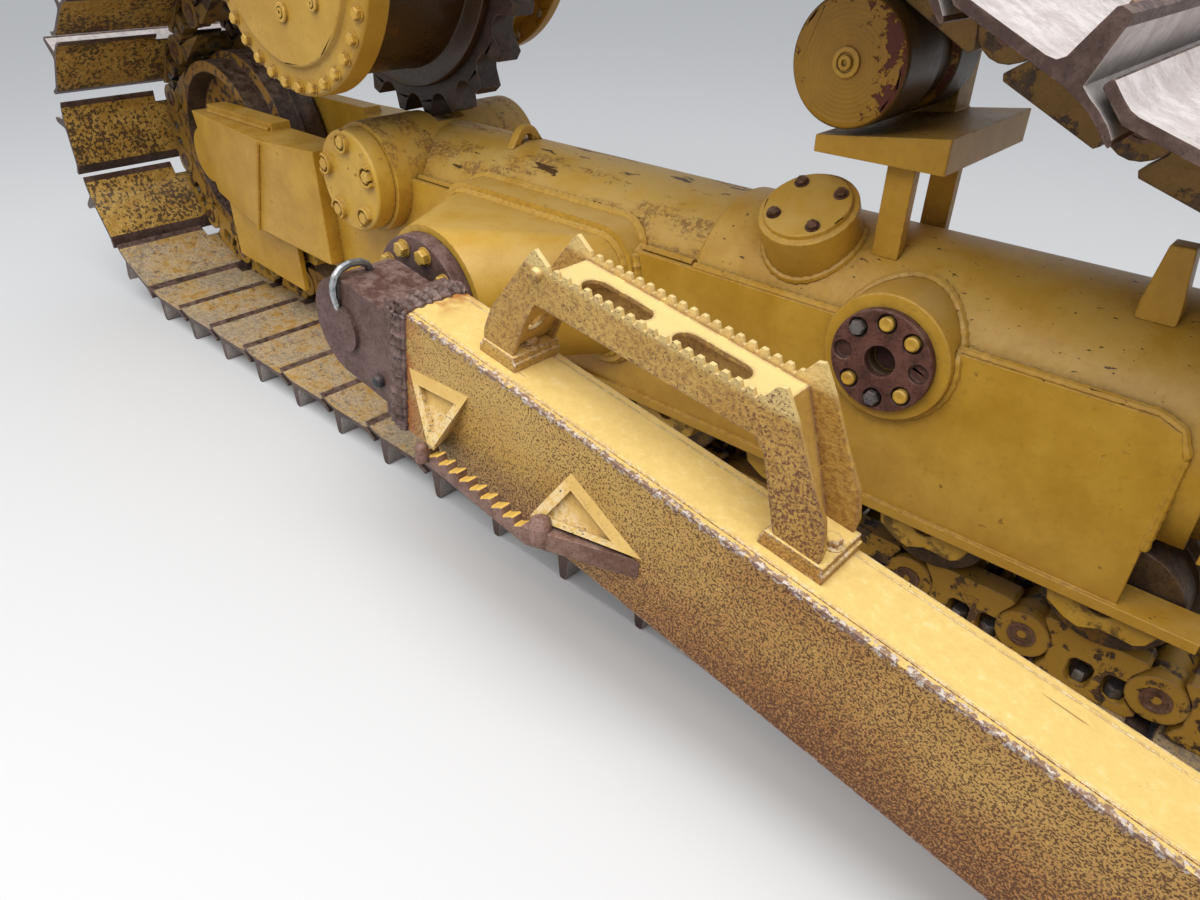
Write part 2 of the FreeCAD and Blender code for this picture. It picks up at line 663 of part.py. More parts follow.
# along the link from its rear pin, then out from the pin line
GROUND_SIDE = [
    (lip_edge - pitch, tail_seat + wall), (back - half_root, plate), (back - half_tip, tip),
    (back + half_tip, tip), (back + half_root, plate), (lip_bend, plate),
    (lip_edge - wall / 3, lip_top), (lip_edge, lip_top - wall / 2),
]
CHAIN_SIDE = [(tail_edge, tail_seat), (tail_bend, seat), (lip_bend, seat)]
shoe_half = size("Sizes.shoe_width / 2")
ground_side = [on_link(index, *corner) for index in range(links) for corner in GROUND_SIDE]
chain_side = [on_link(index, *corner) for index in range(links) for corner in CHAIN_SIDE]
keep(own_shape("track_shoes", band(ground_side, chain_side, -shoe_half, shoe_half)), "track_shoes")

# Each strand of links is waisted at its pins, flat where the shoes bolt on and where
# the rollers run, and the bushings join the two strands.
rail = size("Sizes.rail_seat")
neck = size("Sizes.link_neck")
strand_low = size("Sizes.strand_inner")
strand_high = size("Sizes.strand_outer")
SHOE_FLAT = (0.22 * pitch, 0.74 * pitch)
RAIL_FLAT = (0.12 * pitch, 0.88 * pitch)
shoe_edge = []
rail_edge = []
for index in range(links):
    shoe_edge += [mitre(index, neck)] + [on_link(index, along, seat) for along in SHOE_FLAT]
    rail_edge += [mitre(index, -neck)] + [on_link(index, along, -rail) for along in RAIL_FLAT]
strands = [band(shoe_edge, rail_edge, strand_low, strand_high),
           band(shoe_edge, rail_edge, -strand_high, -strand_low)]
bushing = size("Sizes.bushing_radius")
bushing_sides = int(size("Sizes.bushing_sides"))


def bushing_at(pin):
    corners = [polar(pin - V(0, strand_low, 0), bushing, 2 * math.pi * side / bushing_sides)
               for side in range(bushing_sides + 1)]
    return Part.Face(Part.makePolygon(corners)).extrude(V(0, 2 * strand_low, 0))


bushings = [bushing_at(pin) for pin in pins]
keep(own_shape("track_chain", strands[0].multiFuse(strands[1:] + bushings)), "track_chain")

# The sprocket has a gap for every bushing and one between each two.
drive = V(size("Sizes.sprocket_x"), 0, size("Sizes.sprocket_z"))
pin_circle = size("Sizes.sprocket_pin_circle")
engaged = [pin for pin in pins if abs((pin - drive).Length - pin_circle) < 0.05]
first_gap = angle_of(engaged[0] - drive)
teeth = int(size("Sizes.sprocket_teeth"))
tooth_step = 2 * math.pi / teeth
gap_radius = bushing + size("Sizes.running_gap")
tooth_tip = size("Sizes.tooth_tip")
tip_half_angle = 0.11 * tooth_step
flank_turn = math.radians(112)
edges = []
for tooth in range(teeth):
    middle = first_gap + tooth * tooth_step
    gap_centre = polar(drive, pin_circle, middle)
    bottom = polar(gap_centre, gap_radius, middle + math.pi)
    left = polar(gap_centre, gap_radius, middle + flank_turn)
    right = polar(gap_centre, gap_radius, middle - flank_turn)
    tip_start = polar(drive, tooth_tip, middle + tooth_step / 2 - tip_half_angle)
    tip_end = polar(drive, tooth_tip, middle + tooth_step / 2 + tip_half_angle)
    next_gap = polar(drive, pin_circle, middle + tooth_step)
    next_right = polar(next_gap, gap_radius, middle + tooth_step - flank_turn)
    edges += [Part.Arc(right, bottom, left).toShape(),
              Part.LineSegment(left, tip_start).toShape(),
              Part.LineSegment(tip_start, tip_end).toShape(),
              Part.LineSegment(tip_end, next_right).toShape()]
rim = Part.Face(Part.Wire(edges))
hub_hole = Part.Face(Part.Wire(Part.makeCircle(size("Sizes.drum_radius"), drive, V(0, 1, 0))))
half = size("Sizes.sprocket_half")
ring = rim.cut(hub_hole)
ring.translate(V(0, -half, 0))
keep(own_shape("sprocket", ring.extrude(V(0, 2 * half, 0))), "sprocket")

# Final drive: a drum that carries the sprocket, a bolted cover outboard, and the
# fixed housing that bolts to the tractor inboard.
drum = keep(new_body("final_drive_drum"), "final_drive_drum")
SEAT_FACE = "-Sizes.sprocket_half - Sizes.drum_flange_wall"
SEAT_EDGE = "Sizes.drum_radius + Sizes.drum_flange"
turned(drum, "drum", [
    ("-Sizes.drum_outboard", "0"), ("-Sizes.drum_outboard", "Sizes.drum_radius"),
    (SEAT_FACE + " - Sizes.cover_bevel", "Sizes.drum_radius"), (SEAT_FACE, SEAT_EDGE),
    ("-Sizes.sprocket_half", SEAT_EDGE), ("-Sizes.sprocket_half", "Sizes.drum_radius"),
    ("Sizes.drum_inboard", "Sizes.drum_radius"), ("Sizes.drum_inboard", "0")])
put(drum, "Sizes.sprocket_x", "0", "Sizes.sprocket_z")

cover = keep(new_body("final_drive_cover"), "final_drive_cover")
COVER_FACE = "-Sizes.drum_outboard - Sizes.cover_wall"
turned(cover, "cover", [
    ("-Sizes.drum_outboard", "0"), ("-Sizes.drum_outboard", "Sizes.cover_rim"),
    (COVER_FACE + " + Sizes.cover_bevel", "Sizes.cover_rim"),
    (COVER_FACE, "Sizes.cover_rim - Sizes.cover_bevel"), (COVER_FACE, "Sizes.cover_disc"),
    (COVER_FACE + " - Sizes.cover_disc_wall", "Sizes.cover_disc - Sizes.cover_bevel"),
    (COVER_FACE + " - Sizes.cover_disc_wall", "0")])
put(cover, "Sizes.sprocket_x", "0", "Sizes.sprocket_z")

housing = keep(new_body("final_drive_housing"), "final_drive_housing")
FLANGE_BACK = "Sizes.housing_face - Sizes.housing_flange_wall"
turned(housing, "housing", [
    ("Sizes.drum_inboard", "0"), ("Sizes.drum_inboard", "Sizes.housing_root"),
    ("Sizes.drum_inboard + Sizes.housing_taper", "Sizes.housing_waist"),
    (FLANGE_BACK, "Sizes.housing_waist"), (FLANGE_BACK, "Sizes.housing_flange"),
    ("Sizes.housing_face", "Sizes.housing_flange"), ("Sizes.housing_face", "0")])
hole = pocket_through(housing, circles(housing, "bolt_hole", "XZ_Plane",
                                       [("Sizes.drive_bolt_circle", "0", "Sizes.drive_bolt_hole")]))
ring_of(housing, "bolt_holes", [hole], "Sizes.drive_bolts")
put(housing, "Sizes.sprocket_x", "0", "Sizes.sprocket_z")

# Idlers: two treads under the rails and a flange between the strands.
IDLERS = [("rear_idler", "Sizes.rear_idler_x"), ("front_idler", "Sizes.front_idler_x")]
# across from the middle, then radius; the other half mirrors it
IDLER_HALF = [
    ("Sizes.idler_half", "Sizes.idler_axle"), ("Sizes.idler_half", "Sizes.idler_hub"),
    ("Sizes.idler_web", "Sizes.idler_web_root"), ("Sizes.idler_web", "Sizes.idler_web_rim"),
    ("Sizes.idler_half", "Sizes.idler_rim"), ("Sizes.idler_half", "Sizes.idler_tread"),
    ("Sizes.idler_land", "Sizes.idler_tread"), ("Sizes.idler_crown", "Sizes.idler_flange"),
]


def both_halves(rows):
    """A turned section from its half: out along one side and back along the other."""
    return [("-" + across, radius) for across, radius in rows] + rows[::-1]


for label, axle_x in IDLERS:
    wheel = keep(new_body(label), label)
    turned(wheel, "section", both_halves(IDLER_HALF))
    put(wheel, axle_x, "0", "Sizes.idler_z")

# Bottom rollers: one turned roller, repeated along the frame.
ROLLER_HALF = [
    ("Sizes.roller_half", "0"), ("Sizes.roller_half", "Sizes.roller_tread"),
    ("Sizes.roller_land", "Sizes.roller_tread"), ("Sizes.roller_land", "Sizes.roller_flange"),
    ("Sizes.roller_groove", "Sizes.roller_flange"), ("Sizes.roller_groove", "Sizes.roller_waist"),
]
rollers = keep(new_body("track_rollers"), "track_rollers")
one = turned(rollers, "section", both_halves(ROLLER_HALF))
row_of(rollers, "roller_row", [one], "Sizes.roller_pitch", "Sizes.roller_count")
put(rollers, "Sizes.roller_start", "0", "Sizes.roller_z")

# Each roller hangs from the rails by a scalloped collar at each end, and each collar has
# a half-round recess for its bolt.
COLLAR_TOP = "Sizes.frame_bottom - Sizes.roller_z"
# shares of half the collar's length, along and up from the roller's axle
COLLAR_EDGE = [(1, 0), (0.89, -0.25), (0.72, -0.37), (0.37, -0.35), (0.11, -0.35),
               (-0.25, -0.52), (-0.53, -0.44), (-0.93, -0.19), (-1, 0.10)]
collars = keep(new_body("roller_collars"), "roller_collars")
collar_features = []
for side, name in SIDES:
    corners = [("-Sizes.collar_half", COLLAR_TOP), ("Sizes.collar_half", COLLAR_TOP)]
    corners += [("%s * Sizes.collar_half" % along, "%s * Sizes.collar_half" % up)
                for along, up in COLLAR_EDGE]
    edge = outline(collars, "collar_" + name, "XZ_Plane", corners, "%d * -Sizes.roller_half" % side)
    collar_features.append(pad(collars, edge, "Sizes.collar_wall", backwards=side > 0))
    mouth = circles(collars, "recess_" + name, "XZ_Plane", [("0", COLLAR_TOP, "Sizes.collar_pocket")],
                    "%d * -(Sizes.roller_half + Sizes.collar_wall)" % side)
    collar_features.append(pocket(collars, mouth, "Sizes.collar_pocket_depth", backwards=side > 0))
row_of(collars, "collar_row", collar_features, "Sizes.roller_pitch", "Sizes.roller_count")
put(collars, "Sizes.roller_start", "0", "Sizes.roller_z")

# Roller frame: side plates on the two rails, welded to the front tube. The side plates'
# upper front corners are cut round.
side_edge = [
    ("Sizes.fork_front", "Sizes.frame_floor"), ("Sizes.frame_front", "Sizes.frame_floor"),
    ("Sizes.frame_front", "Sizes.frame_top - Sizes.frame_round"),
    ("Sizes.frame_front - 0.29 * Sizes.frame_round", "Sizes.frame_top - 0.29 * Sizes.frame_round"),
    ("Sizes.frame_front - Sizes.frame_round", "Sizes.frame_top"),
    ("Sizes.fork_front", "Sizes.frame_top")]
side_plates = [upright_plate("side_plate", side_edge, low_y, "Sizes.side_wall")
               for low_y in ("Sizes.frame_side - Sizes.side_wall", "-Sizes.frame_side")]
rails = [block(("Sizes.rail_rear", low_y, "Sizes.frame_bottom"),
               ("Sizes.rail_front - Sizes.rail_rear",
                "Sizes.frame_side + Sizes.rail_lip - Sizes.rail_inside", "Sizes.rail_wall"))
         for low_y in ("Sizes.rail_inside", "-Sizes.frame_side - Sizes.rail_lip")]
belly = block(("Sizes.fork_front", "-Sizes.frame_side + Sizes.side_wall", "Sizes.belly_z"),
              ("Sizes.frame_front - Sizes.fork_front", "2 * Sizes.frame_side - 2 * Sizes.side_wall",
               "Sizes.belly_wall"))


def front_tube_bar(radius):
    return bar(radius, "Sizes.tube_end_x - Sizes.tube_joint_x",
               ("Sizes.tube_joint_x", "0", "Sizes.tube_z"), "X")


def rear_tube_bar(radius, start="0"):
    return bar(radius, "Sizes.tube_joint_x - %s" % start, (start, "0", "Sizes.tube_z"), "X")


def hub_bar():
    return bar("Sizes.hub_radius", "Sizes.hub_inboard + Sizes.hub_outboard",
               ("0", "-Sizes.hub_outboard", "0"))


def under_belly(top):
    """The rollers' space, from below the ground up to a level inside the frame."""
    return block(("Sizes.rail_rear", "-Sizes.rail_inside", "-2 * Sizes.ground_drop"),
                 ("Sizes.rail_front - Sizes.rail_rear", "2 * Sizes.rail_inside",
                  "2 * Sizes.ground_drop + %s" % top))


sleeve = cut(front_tube_bar("Sizes.front_tube"), front_tube_bar("Sizes.front_tube - Sizes.tube_wall"))
keep(cut(fuse(*side_plates, *rails, belly, sleeve), hub_bar(), under_belly("Sizes.belly_z")),
     "roller_frame")
keep(cut(rear_tube_bar("Sizes.rear_tube"),
         rear_tube_bar("Sizes.rear_tube - Sizes.tube_wall", "Sizes.pivot_bore"),
         hub_bar(), under_belly("Sizes.belly_top")), "rear_tube")

# Pivot housing, bored from inboard for the tractor's pivot shaft.
hub_bore = bar("Sizes.pivot_bore", "Sizes.hub_inboard + Sizes.bore_bottom",
               ("0", "-Sizes.bore_bottom", "0"))
sprocket_room = bar("Sizes.tooth_tip + Sizes.working_room",
                    "2 * Sizes.sprocket_half + 2 * Sizes.working_room",
                    ("Sizes.sprocket_x", "-Sizes.sprocket_half - Sizes.working_room", "Sizes.sprocket_z"))
keep(cut(hub_bar(), hub_bore, sprocket_room), "pivot_housing")

# Its cap: a thick disc with a raised rim round each bolt, open to the disc's edge.
CAP_FACE = "-Sizes.hub_outboard - Sizes.cap_wall"
cap_disc = new_body("cap_disc")
turned(cap_disc, "cap", [
    ("-Sizes.hub_outboard", "0"), ("-Sizes.hub_outboard", "Sizes.cap_radius"),
    (CAP_FACE + " + Sizes.cap_bevel", "Sizes.cap_radius"),
    (CAP_FACE, "Sizes.cap_radius - Sizes.cap_bevel"), (CAP_FACE, "0")])
cap_rims = []
for bolt in range(int(size("Sizes.cap_bolts"))):
    start = ("Sizes.cap_bolt_circle", CAP_FACE + " - Sizes.cap_rim_height", "0")
    mouth = block(("Sizes.cap_bolt_circle + Sizes.cap_rim / 2", start[1], "-Sizes.cap_rim"),
                  ("Sizes.cap_rim", "Sizes.cap_rim_height", "2 * Sizes.cap_rim"))
    rim_piece = cut(bar("Sizes.cap_rim", "Sizes.cap_rim_height", start),
                    bar("Sizes.cap_rim - Sizes.cap_rim_wall", "Sizes.cap_rim_height", start), mouth)
    cap_rims.append(put(rim_piece, axis=V(0, 1, 0),
                        turn="270 + %d * %d / Sizes.cap_bolts" % (bolt, FULL_TURN)))
keep(fuse(cap_disc, *cap_rims), "pivot_cap")


def faceted(faces):
    """A solid inside flat faces, each a row of corners."""
    solid = Part.Solid(Part.Shell([Part.Face(Part.makePolygon(rows + rows[:1])) for rows in faces]))
    if solid.Volume < 0:
        solid.reverse()
    return solid


# Rear fork: a folded arm on each side of the rear idler, joined by a neck to the pivot
# housing. An arm's outer side bulges to a leaning fold.
inside = -size("Sizes.fork_inside")
fork_top = size("Sizes.fork_top")
fork_floor = size("Sizes.frame_floor")
rear_side = -size("Sizes.fork_rear_side")
front_side = -size("Sizes.fork_front_side")
rear_x = size("Sizes.fork_rear")
front_end = size("Sizes.fork_front")
sill_x = size("Sizes.rail_rear")
heel_x = rear_x + size("Sizes.fork_heel")
heel_z = size("Sizes.idler_z - Sizes.fork_heel_drop")
rear_out, rear_in = V(rear_x, rear_side, fork_top), V(rear_x, inside, fork_top)
front_out, front_in = V(front_end, front_side, fork_top), V(front_end, inside, fork_top)
foot_out, foot_in = V(front_end, front_side, fork_floor), V(front_end, inside, fork_floor)
sill_out, sill_in = V(sill_x, rear_side, fork_floor), V(sill_x, inside, fork_floor)
heel_out, heel_in = V(heel_x, rear_side, heel_z), V(heel_x, inside, heel_z)
fold_top = V(size("Sizes.fork_fold"), -size("Sizes.fork_fold_side"), fork_top)
fold_foot = V(size("Sizes.fold_foot"), -size("Sizes.fork_fold_side"), size("Sizes.fold_foot_z"))
fork_arm = faceted([
    [rear_out, fold_top, front_out, front_in, rear_in], [front_out, foot_out, foot_in, front_in],
    [foot_out, sill_out, sill_in, foot_in], [sill_out, heel_out, heel_in, sill_in],
    [heel_out, rear_out, rear_in, heel_in], [rear_in, front_in, foot_in, sill_in, heel_in],
    [rear_out, fold_foot, fold_top], [rear_out, heel_out, fold_foot],
    [heel_out, sill_out, fold_foot], [sill_out, foot_out, fold_foot],
    [fold_foot, foot_out, fold_top], [fold_top, foot_out, front_out]])
other_arm = fork_arm.mirror(V(0, 0, 0), V(0, 1, 0))
fork_arms = [own_shape("fork_arm", arm) for arm in (fork_arm, other_arm)]
neck_block = block(("Sizes.fork_front - Sizes.fork_neck", "-Sizes.fork_inside", "-Sizes.fork_neck_depth"),
                   ("-Sizes.fork_front + Sizes.fork_neck", "2 * Sizes.fork_inside",
                    "Sizes.fork_neck_depth"))
ledges = [block(("Sizes.ledge_rear", low_y, "Sizes.fork_top"),
                ("Sizes.ledge_front - Sizes.ledge_rear", "Sizes.ledge_width", "Sizes.ledge_wall"))
          for low_y in ("Sizes.fork_inside", "-Sizes.fork_inside - Sizes.ledge_width")]
GUARD_Y = "Sizes.frame_side + Sizes.rail_lip"
guard_edge = [
    ("Sizes.guard_rear", "Sizes.idler_z - Sizes.fork_heel_drop"),
    ("Sizes.guard_rear", "Sizes.frame_floor - Sizes.guard_depth"),
    ("Sizes.guard_front", "Sizes.frame_floor - 1.2 * Sizes.guard_depth"),
    ("Sizes.guard_front", "Sizes.frame_floor + Sizes.guard_wall")]
guards = [upright_plate("guard", guard_edge, low_y, "Sizes.guard_wall")
          for low_y in (GUARD_Y, "-(%s) - Sizes.guard_wall" % GUARD_Y)]
axle_seat = bar("Sizes.bearing_radius", "4 * Sizes.fork_inside",
                ("Sizes.rear_idler_x", "-2 * Sizes.fork_inside", "Sizes.idler_z"))
keep(cut(fuse(*fork_arms, neck_block, *ledges, *guards), axle_seat, hub_bar()), "rear_fork")

# Front yoke: a slide in the front tube, with two arms beside the front idler.
YOKE_START = "Sizes.tube_end_x + Sizes.yoke_gap"
YOKE_SIDE = "-Sizes.fork_inside - Sizes.yoke_arm"
yoke_slide = bar("Sizes.front_tube - Sizes.tube_wall - Sizes.running_gap",
                 "Sizes.yoke_insert + 1.5 * Sizes.yoke_gap",
                 ("Sizes.tube_end_x - Sizes.yoke_insert", "0", "Sizes.tube_z"), "X")
yoke_head = block((YOKE_START, YOKE_SIDE, "Sizes.belly_top"),
                  ("Sizes.front_idler_x - Sizes.idler_flange - Sizes.yoke_gap - (%s)" % YOKE_START,
                   "2 * Sizes.fork_inside + 2 * Sizes.yoke_arm", "Sizes.yoke_head"))
yoke_arms = [block((YOKE_START, low_y, "Sizes.idler_z - 0.4 * Sizes.yoke_depth"),
                   ("Sizes.front_idler_x + 0.8 * Sizes.bearing_radius - (%s)" % YOKE_START,
                    "Sizes.yoke_arm", "Sizes.yoke_depth"))
             for low_y in ("Sizes.fork_inside", YOKE_SIDE)]
yoke_seats = bar("Sizes.bearing_radius", "4 * Sizes.fork_inside",
                 ("Sizes.front_idler_x", "-2 * Sizes.fork_inside", "Sizes.idler_z"))
keep(cut(fuse(yoke_slide, yoke_head, *yoke_arms), yoke_seats, under_belly("Sizes.belly_top")),
     "front_yoke")

# Bearing blocks at both ends of each idler's axle.
bearings = keep(new_body("idler_bearings"), "idler_bearings")
for label, axle_x in IDLERS:
    for side, place in SIDES:
        sketch = circles(bearings, "%s_%s" % (label, place), "XZ_Plane",
                         [(axle_x, "Sizes.idler_z", "Sizes.bearing_radius")],
                         "%d * -(Sizes.idler_half + Sizes.bearing_seat)" % side)
        pad(bearings, sketch, "Sizes.bearing_wall", backwards=side > 0)
keep(fuse(*[bar("Sizes.idler_axle - Sizes.running_gap", "2 * Sizes.idler_half + 2 * Sizes.bearing_seat",
                (axle_x, "-Sizes.idler_half - Sizes.bearing_seat", "Sizes.idler_z"))
            for label, axle_x in IDLERS]), "idler_axles")


def frame_space():
    """What the side plate and both tubes already fill, outboard."""
    return [rear_tube_bar("Sizes.rear_tube"), front_tube_bar("Sizes.front_tube"),
            block(("0", "-Sizes.frame_side", "2 * Sizes.frame_bottom"),
                  ("Sizes.frame_front", "Sizes.frame_side", "Sizes.frame_top - 2 * Sizes.frame_bottom"))]


def rounded(rear, front, low, high, corner, y):
    """An upright loop of four arcs and four lines, in one order whatever its sizes."""
    centres = [(front - corner, high - corner, 0), (rear + corner, high - corner, 90),
               (rear + corner, low + corner, 180), (front - corner, low + corner, 270)]
    loop = []
    for index, (x, z, angle) in enumerate(centres):
        first, middle, last = [polar(V(x, y, z), corner, math.radians(angle + turn))
                               for turn in (0, 45, 90)]
        next_x, next_z, next_angle = centres[(index + 1) % 4]
        onward = polar(V(next_x, y, next_z), corner, math.radians(next_angle))
        loop += [Part.Arc(first, middle, last).toShape(), Part.LineSegment(last, onward).toShape()]
    return Part.Wire(loop)


# Trunnion tower: round at the flange and a rounded rectangle on the frame's side, where
# it stands on a plate that also laps over on to the tube.
ball_x = size("Sizes.trunnion_x")
ball_z = size("Sizes.trunnion_z")
plate_rear = ball_x - size("Sizes.tower_rear")
plate_front = ball_x + size("Sizes.tower_front")
plate_low = ball_z - size("Sizes.tower_down")
plate_high = ball_z + size("Sizes.tower_up")
corner = size("Sizes.tower_corner")
edge = size("Sizes.saddle_edge")
plate_y = -size("Sizes.frame_side + Sizes.saddle_wall")
tip_y = size("-Sizes.flange_face + Sizes.flange_wall")
tip_radius = size("Sizes.tower_tip")
TIP_FLAT = 1
tower_top = rounded(ball_x - tip_radius, ball_x + tip_radius, ball_z - tip_radius, ball_z + tip_radius,
                    tip_radius - TIP_FLAT, tip_y)
tower_base = rounded(plate_rear + edge, plate_front - edge, plate_low + edge, plate_high - edge,
                     corner - edge, plate_y)
saddle_loop = rounded(plate_rear, plate_front, plate_low, plate_high, corner, plate_y)
saddle_depth = size("Sizes.saddle_wall + Sizes.plate_reach")
saddle = Part.Face(saddle_loop).extrude(V(0, saddle_depth, 0))
tower = own_shape("tower", Part.makeLoft([tower_top, tower_base], True, True))
keep(cut(fuse(tower, own_shape("saddle", saddle)), *frame_space()), "trunnion_tower")

flange = keep(new_body("trunnion_flange"), "trunnion_flange")
turned(flange, "flange", [
    ("-Sizes.flange_face", "0"), ("-Sizes.flange_face", "Sizes.flange_radius"),
    ("-Sizes.flange_face + Sizes.flange_wall", "Sizes.flange_radius"),
    ("-Sizes.flange_face + Sizes.flange_wall", "0")])
put(flange, "Sizes.trunnion_x", "0", "Sizes.trunnion_z")
ball = doc.addObject("Part::Sphere", "ball")
bind(ball, Radius="Sizes.ball_radius")
put(ball, "Sizes.trunnion_x", "-Sizes.ball_out", "Sizes.trunnion_z")
ball_neck = bar("Sizes.neck_radius", "Sizes.ball_stub",
                ("Sizes.trunnion_x", "-Sizes.ball_out", "Sizes.trunnion_z"))
keep(fuse(ball, ball_neck), "trunnion_ball")

# Bolted disc on its boss, ahead of the tower, with a counterbore for each bolt.
BOSS_FACE = "-Sizes.guide_face + Sizes.guide_wall"
guide_boss = bar("Sizes.guide_boss",
                 "Sizes.guide_face - Sizes.guide_wall - Sizes.frame_side + Sizes.plate_reach",
                 ("Sizes.guide_x", BOSS_FACE, "Sizes.guide_z"))
boss_hole = bar("Sizes.guide_hole", "Sizes.guide_hole_depth - Sizes.guide_wall",
                ("Sizes.guide_x", BOSS_FACE, "Sizes.guide_z"))
keep(cut(guide_boss, boss_hole, *frame_space()), "guide_boss")
guide = keep(new_body("guide_disc"), "guide_disc")
turned(guide, "disc", [
    ("-Sizes.guide_face", "Sizes.guide_hole"), ("-Sizes.guide_face", "Sizes.guide_radius"),
    (BOSS_FACE, "Sizes.guide_radius"), (BOSS_FACE, "Sizes.guide_hole")])
counterbore = pocket(guide, circles(guide, "counterbore", "XZ_Plane",
                                    [("Sizes.guide_bolt_circle", "0", "Sizes.guide_pocket")],
                                    "Sizes.guide_face"), "Sizes.guide_pocket_depth")
ring_of(guide, "counterbores", [counterbore], "Sizes.guide_bolts")
put(guide, "Sizes.guide_x", "0", "Sizes.guide_z")


# Round cover on a wider boss on the front tube, leaning outboard.
def leaning_bar(radius, start, length):
    piece = doc.addObject("Part::Cylinder", "leaning_bar")
    bind(piece, Radius=radius, Height=length)
    return put(piece, "Sizes.lid_x", "-(%s) * sin(Sizes.lid_lean * 1 deg)" % start,
               "Sizes.tube_z + (%s) * cos(Sizes.lid_lean * 1 deg)" % start,
               V(1, 0, 0), "Sizes.lid_lean")


keep(cut(fuse(leaning_bar("Sizes.lid_boss", "Sizes.front_tube / 2",
                          "Sizes.lid_reach - Sizes.lid_wall - Sizes.front_tube / 2"),
              leaning_bar("Sizes.lid_radius", "Sizes.lid_reach - Sizes.lid_wall", "Sizes.lid_wall")),
         front_tube_bar("Sizes.front_tube")), "tube_cover")

# Lifting eye across the rear tube: a round top over a foot that spreads to both sides.
EYE_Z = "Sizes.tube_z + Sizes.rear_tube"
eye_body = new_body("eye_foot")
eye_edge = [
    ("-Sizes.eye_side - Sizes.eye_foot", "Sizes.tube_z + 0.8 * Sizes.rear_tube"),
    ("-Sizes.eye_side + Sizes.eye_foot", "Sizes.tube_z + 0.8 * Sizes.rear_tube"),
    ("-Sizes.eye_side + 0.8 * Sizes.eye_outside", EYE_Z + " + 0.6 * Sizes.eye_outside"),
    ("-Sizes.eye_side - 0.8 * Sizes.eye_outside", EYE_Z + " + 0.6 * Sizes.eye_outside")]
pad(eye_body, outline(eye_body, "foot_edge", "YZ_Plane", eye_edge, "Sizes.eye_x"), "Sizes.eye_wall")
eye_start = ("Sizes.eye_x", "-Sizes.eye_side", EYE_Z)
keep(cut(fuse(eye_body, bar("Sizes.eye_outside", "Sizes.eye_wall", eye_start, "X")),
         bar("Sizes.eye_hole", "Sizes.eye_wall", eye_start, "X"), rear_tube_bar("Sizes.rear_tube")),
     "lifting_eye")

# Small tapered bracket that stands on the front tube.
prop_edge = [
    ("Sizes.prop_x - Sizes.prop_foot", "Sizes.tube_z"), ("Sizes.prop_x + Sizes.prop_foot", "Sizes.tube_z"),
    ("Sizes.prop_x + Sizes.prop_foot", "Sizes.tube_z + Sizes.front_tube"),
    ("Sizes.prop_x + Sizes.prop_top", "Sizes.tube_z + Sizes.prop_height"),
    ("Sizes.prop_x - Sizes.prop_top", "Sizes.tube_z + Sizes.prop_height"),
    ("Sizes.prop_x - Sizes.prop_foot", "Sizes.tube_z + Sizes.front_tube")]
keep(cut(upright_plate("prop", prop_edge, "-Sizes.prop_side", "Sizes.prop_wall"),
         front_tube_bar("Sizes.front_tube")), "front_bracket")

# Carrier roller, its axle held by a clamp on a column that stands on the bracket's bar.
carrier = keep(new_body("carrier_roller"), "carrier_roller")
CARRIER_FLOOR = "Sizes.carrier_radius - Sizes.carrier_groove_depth"
turned(carrier, "carrier", [
    ("-Sizes.carrier_outboard", "0"),
    ("-Sizes.carrier_outboard", "Sizes.carrier_radius - Sizes.carrier_bevel"),
    ("-Sizes.carrier_outboard + Sizes.carrier_bevel", "Sizes.carrier_radius"),
    ("-Sizes.carrier_groove - Sizes.carrier_bevel", "Sizes.carrier_radius"),
    ("-Sizes.carrier_groove", CARRIER_FLOOR), ("Sizes.carrier_groove", CARRIER_FLOOR),
    ("Sizes.carrier_groove + Sizes.carrier_bevel", "Sizes.carrier_radius"),
    ("Sizes.carrier_inboard", "Sizes.carrier_radius"), ("Sizes.carrier_inboard", "Sizes.carrier_axle"),
    ("Sizes.carrier_axle_end", "Sizes.carrier_axle"), ("Sizes.carrier_axle_end", "0")])
put(carrier, "Sizes.carrier_x", "0", "Sizes.carrier_z")

BAR_TOP = "Sizes.bracket_low + Sizes.bracket_wall"
CLAMP_WALL = "Sizes.carrier_axle_end - Sizes.clamp_start"
bar_edge = [
    ("Sizes.carrier_x - Sizes.bracket_rear", "Sizes.bracket_low"),
    ("Sizes.carrier_x + Sizes.bracket_front", "Sizes.bracket_low"),
    ("Sizes.carrier_x + Sizes.bracket_front", BAR_TOP + " + Sizes.bracket_rise"),
    ("Sizes.carrier_x - Sizes.bracket_rear", BAR_TOP)]
bracket_bar = upright_plate("bracket_bar", bar_edge, "-Sizes.bracket_outboard",
                            "Sizes.bracket_outboard + Sizes.carrier_axle_end")
bracket_column = block(("Sizes.carrier_x - Sizes.bracket_rear", "Sizes.clamp_start", BAR_TOP),
                       ("Sizes.bracket_rear + Sizes.clamp_radius", CLAMP_WALL,
                        "Sizes.carrier_z - (%s)" % BAR_TOP))
clamp_start = ("Sizes.carrier_x", "Sizes.clamp_start", "Sizes.carrier_z")
bracket_clamp = bar("Sizes.clamp_radius", CLAMP_WALL, clamp_start)
bracket_legs = [block(("Sizes.carrier_x + Sizes.clamp_radius", low_y, "0"),
                      ("Sizes.bracket_leg", "Sizes.bracket_leg_wall", "Sizes.bracket_low"))
                for low_y in ("-Sizes.bracket_leg_side",
                              "Sizes.bracket_leg_side - Sizes.bracket_leg_wall")]
keep(cut(fuse(bracket_bar, bracket_column, bracket_clamp, *bracket_legs),
         front_tube_bar("Sizes.front_tube"), bar("Sizes.carrier_axle", CLAMP_WALL, clamp_start)),
     "carrier_bracket")

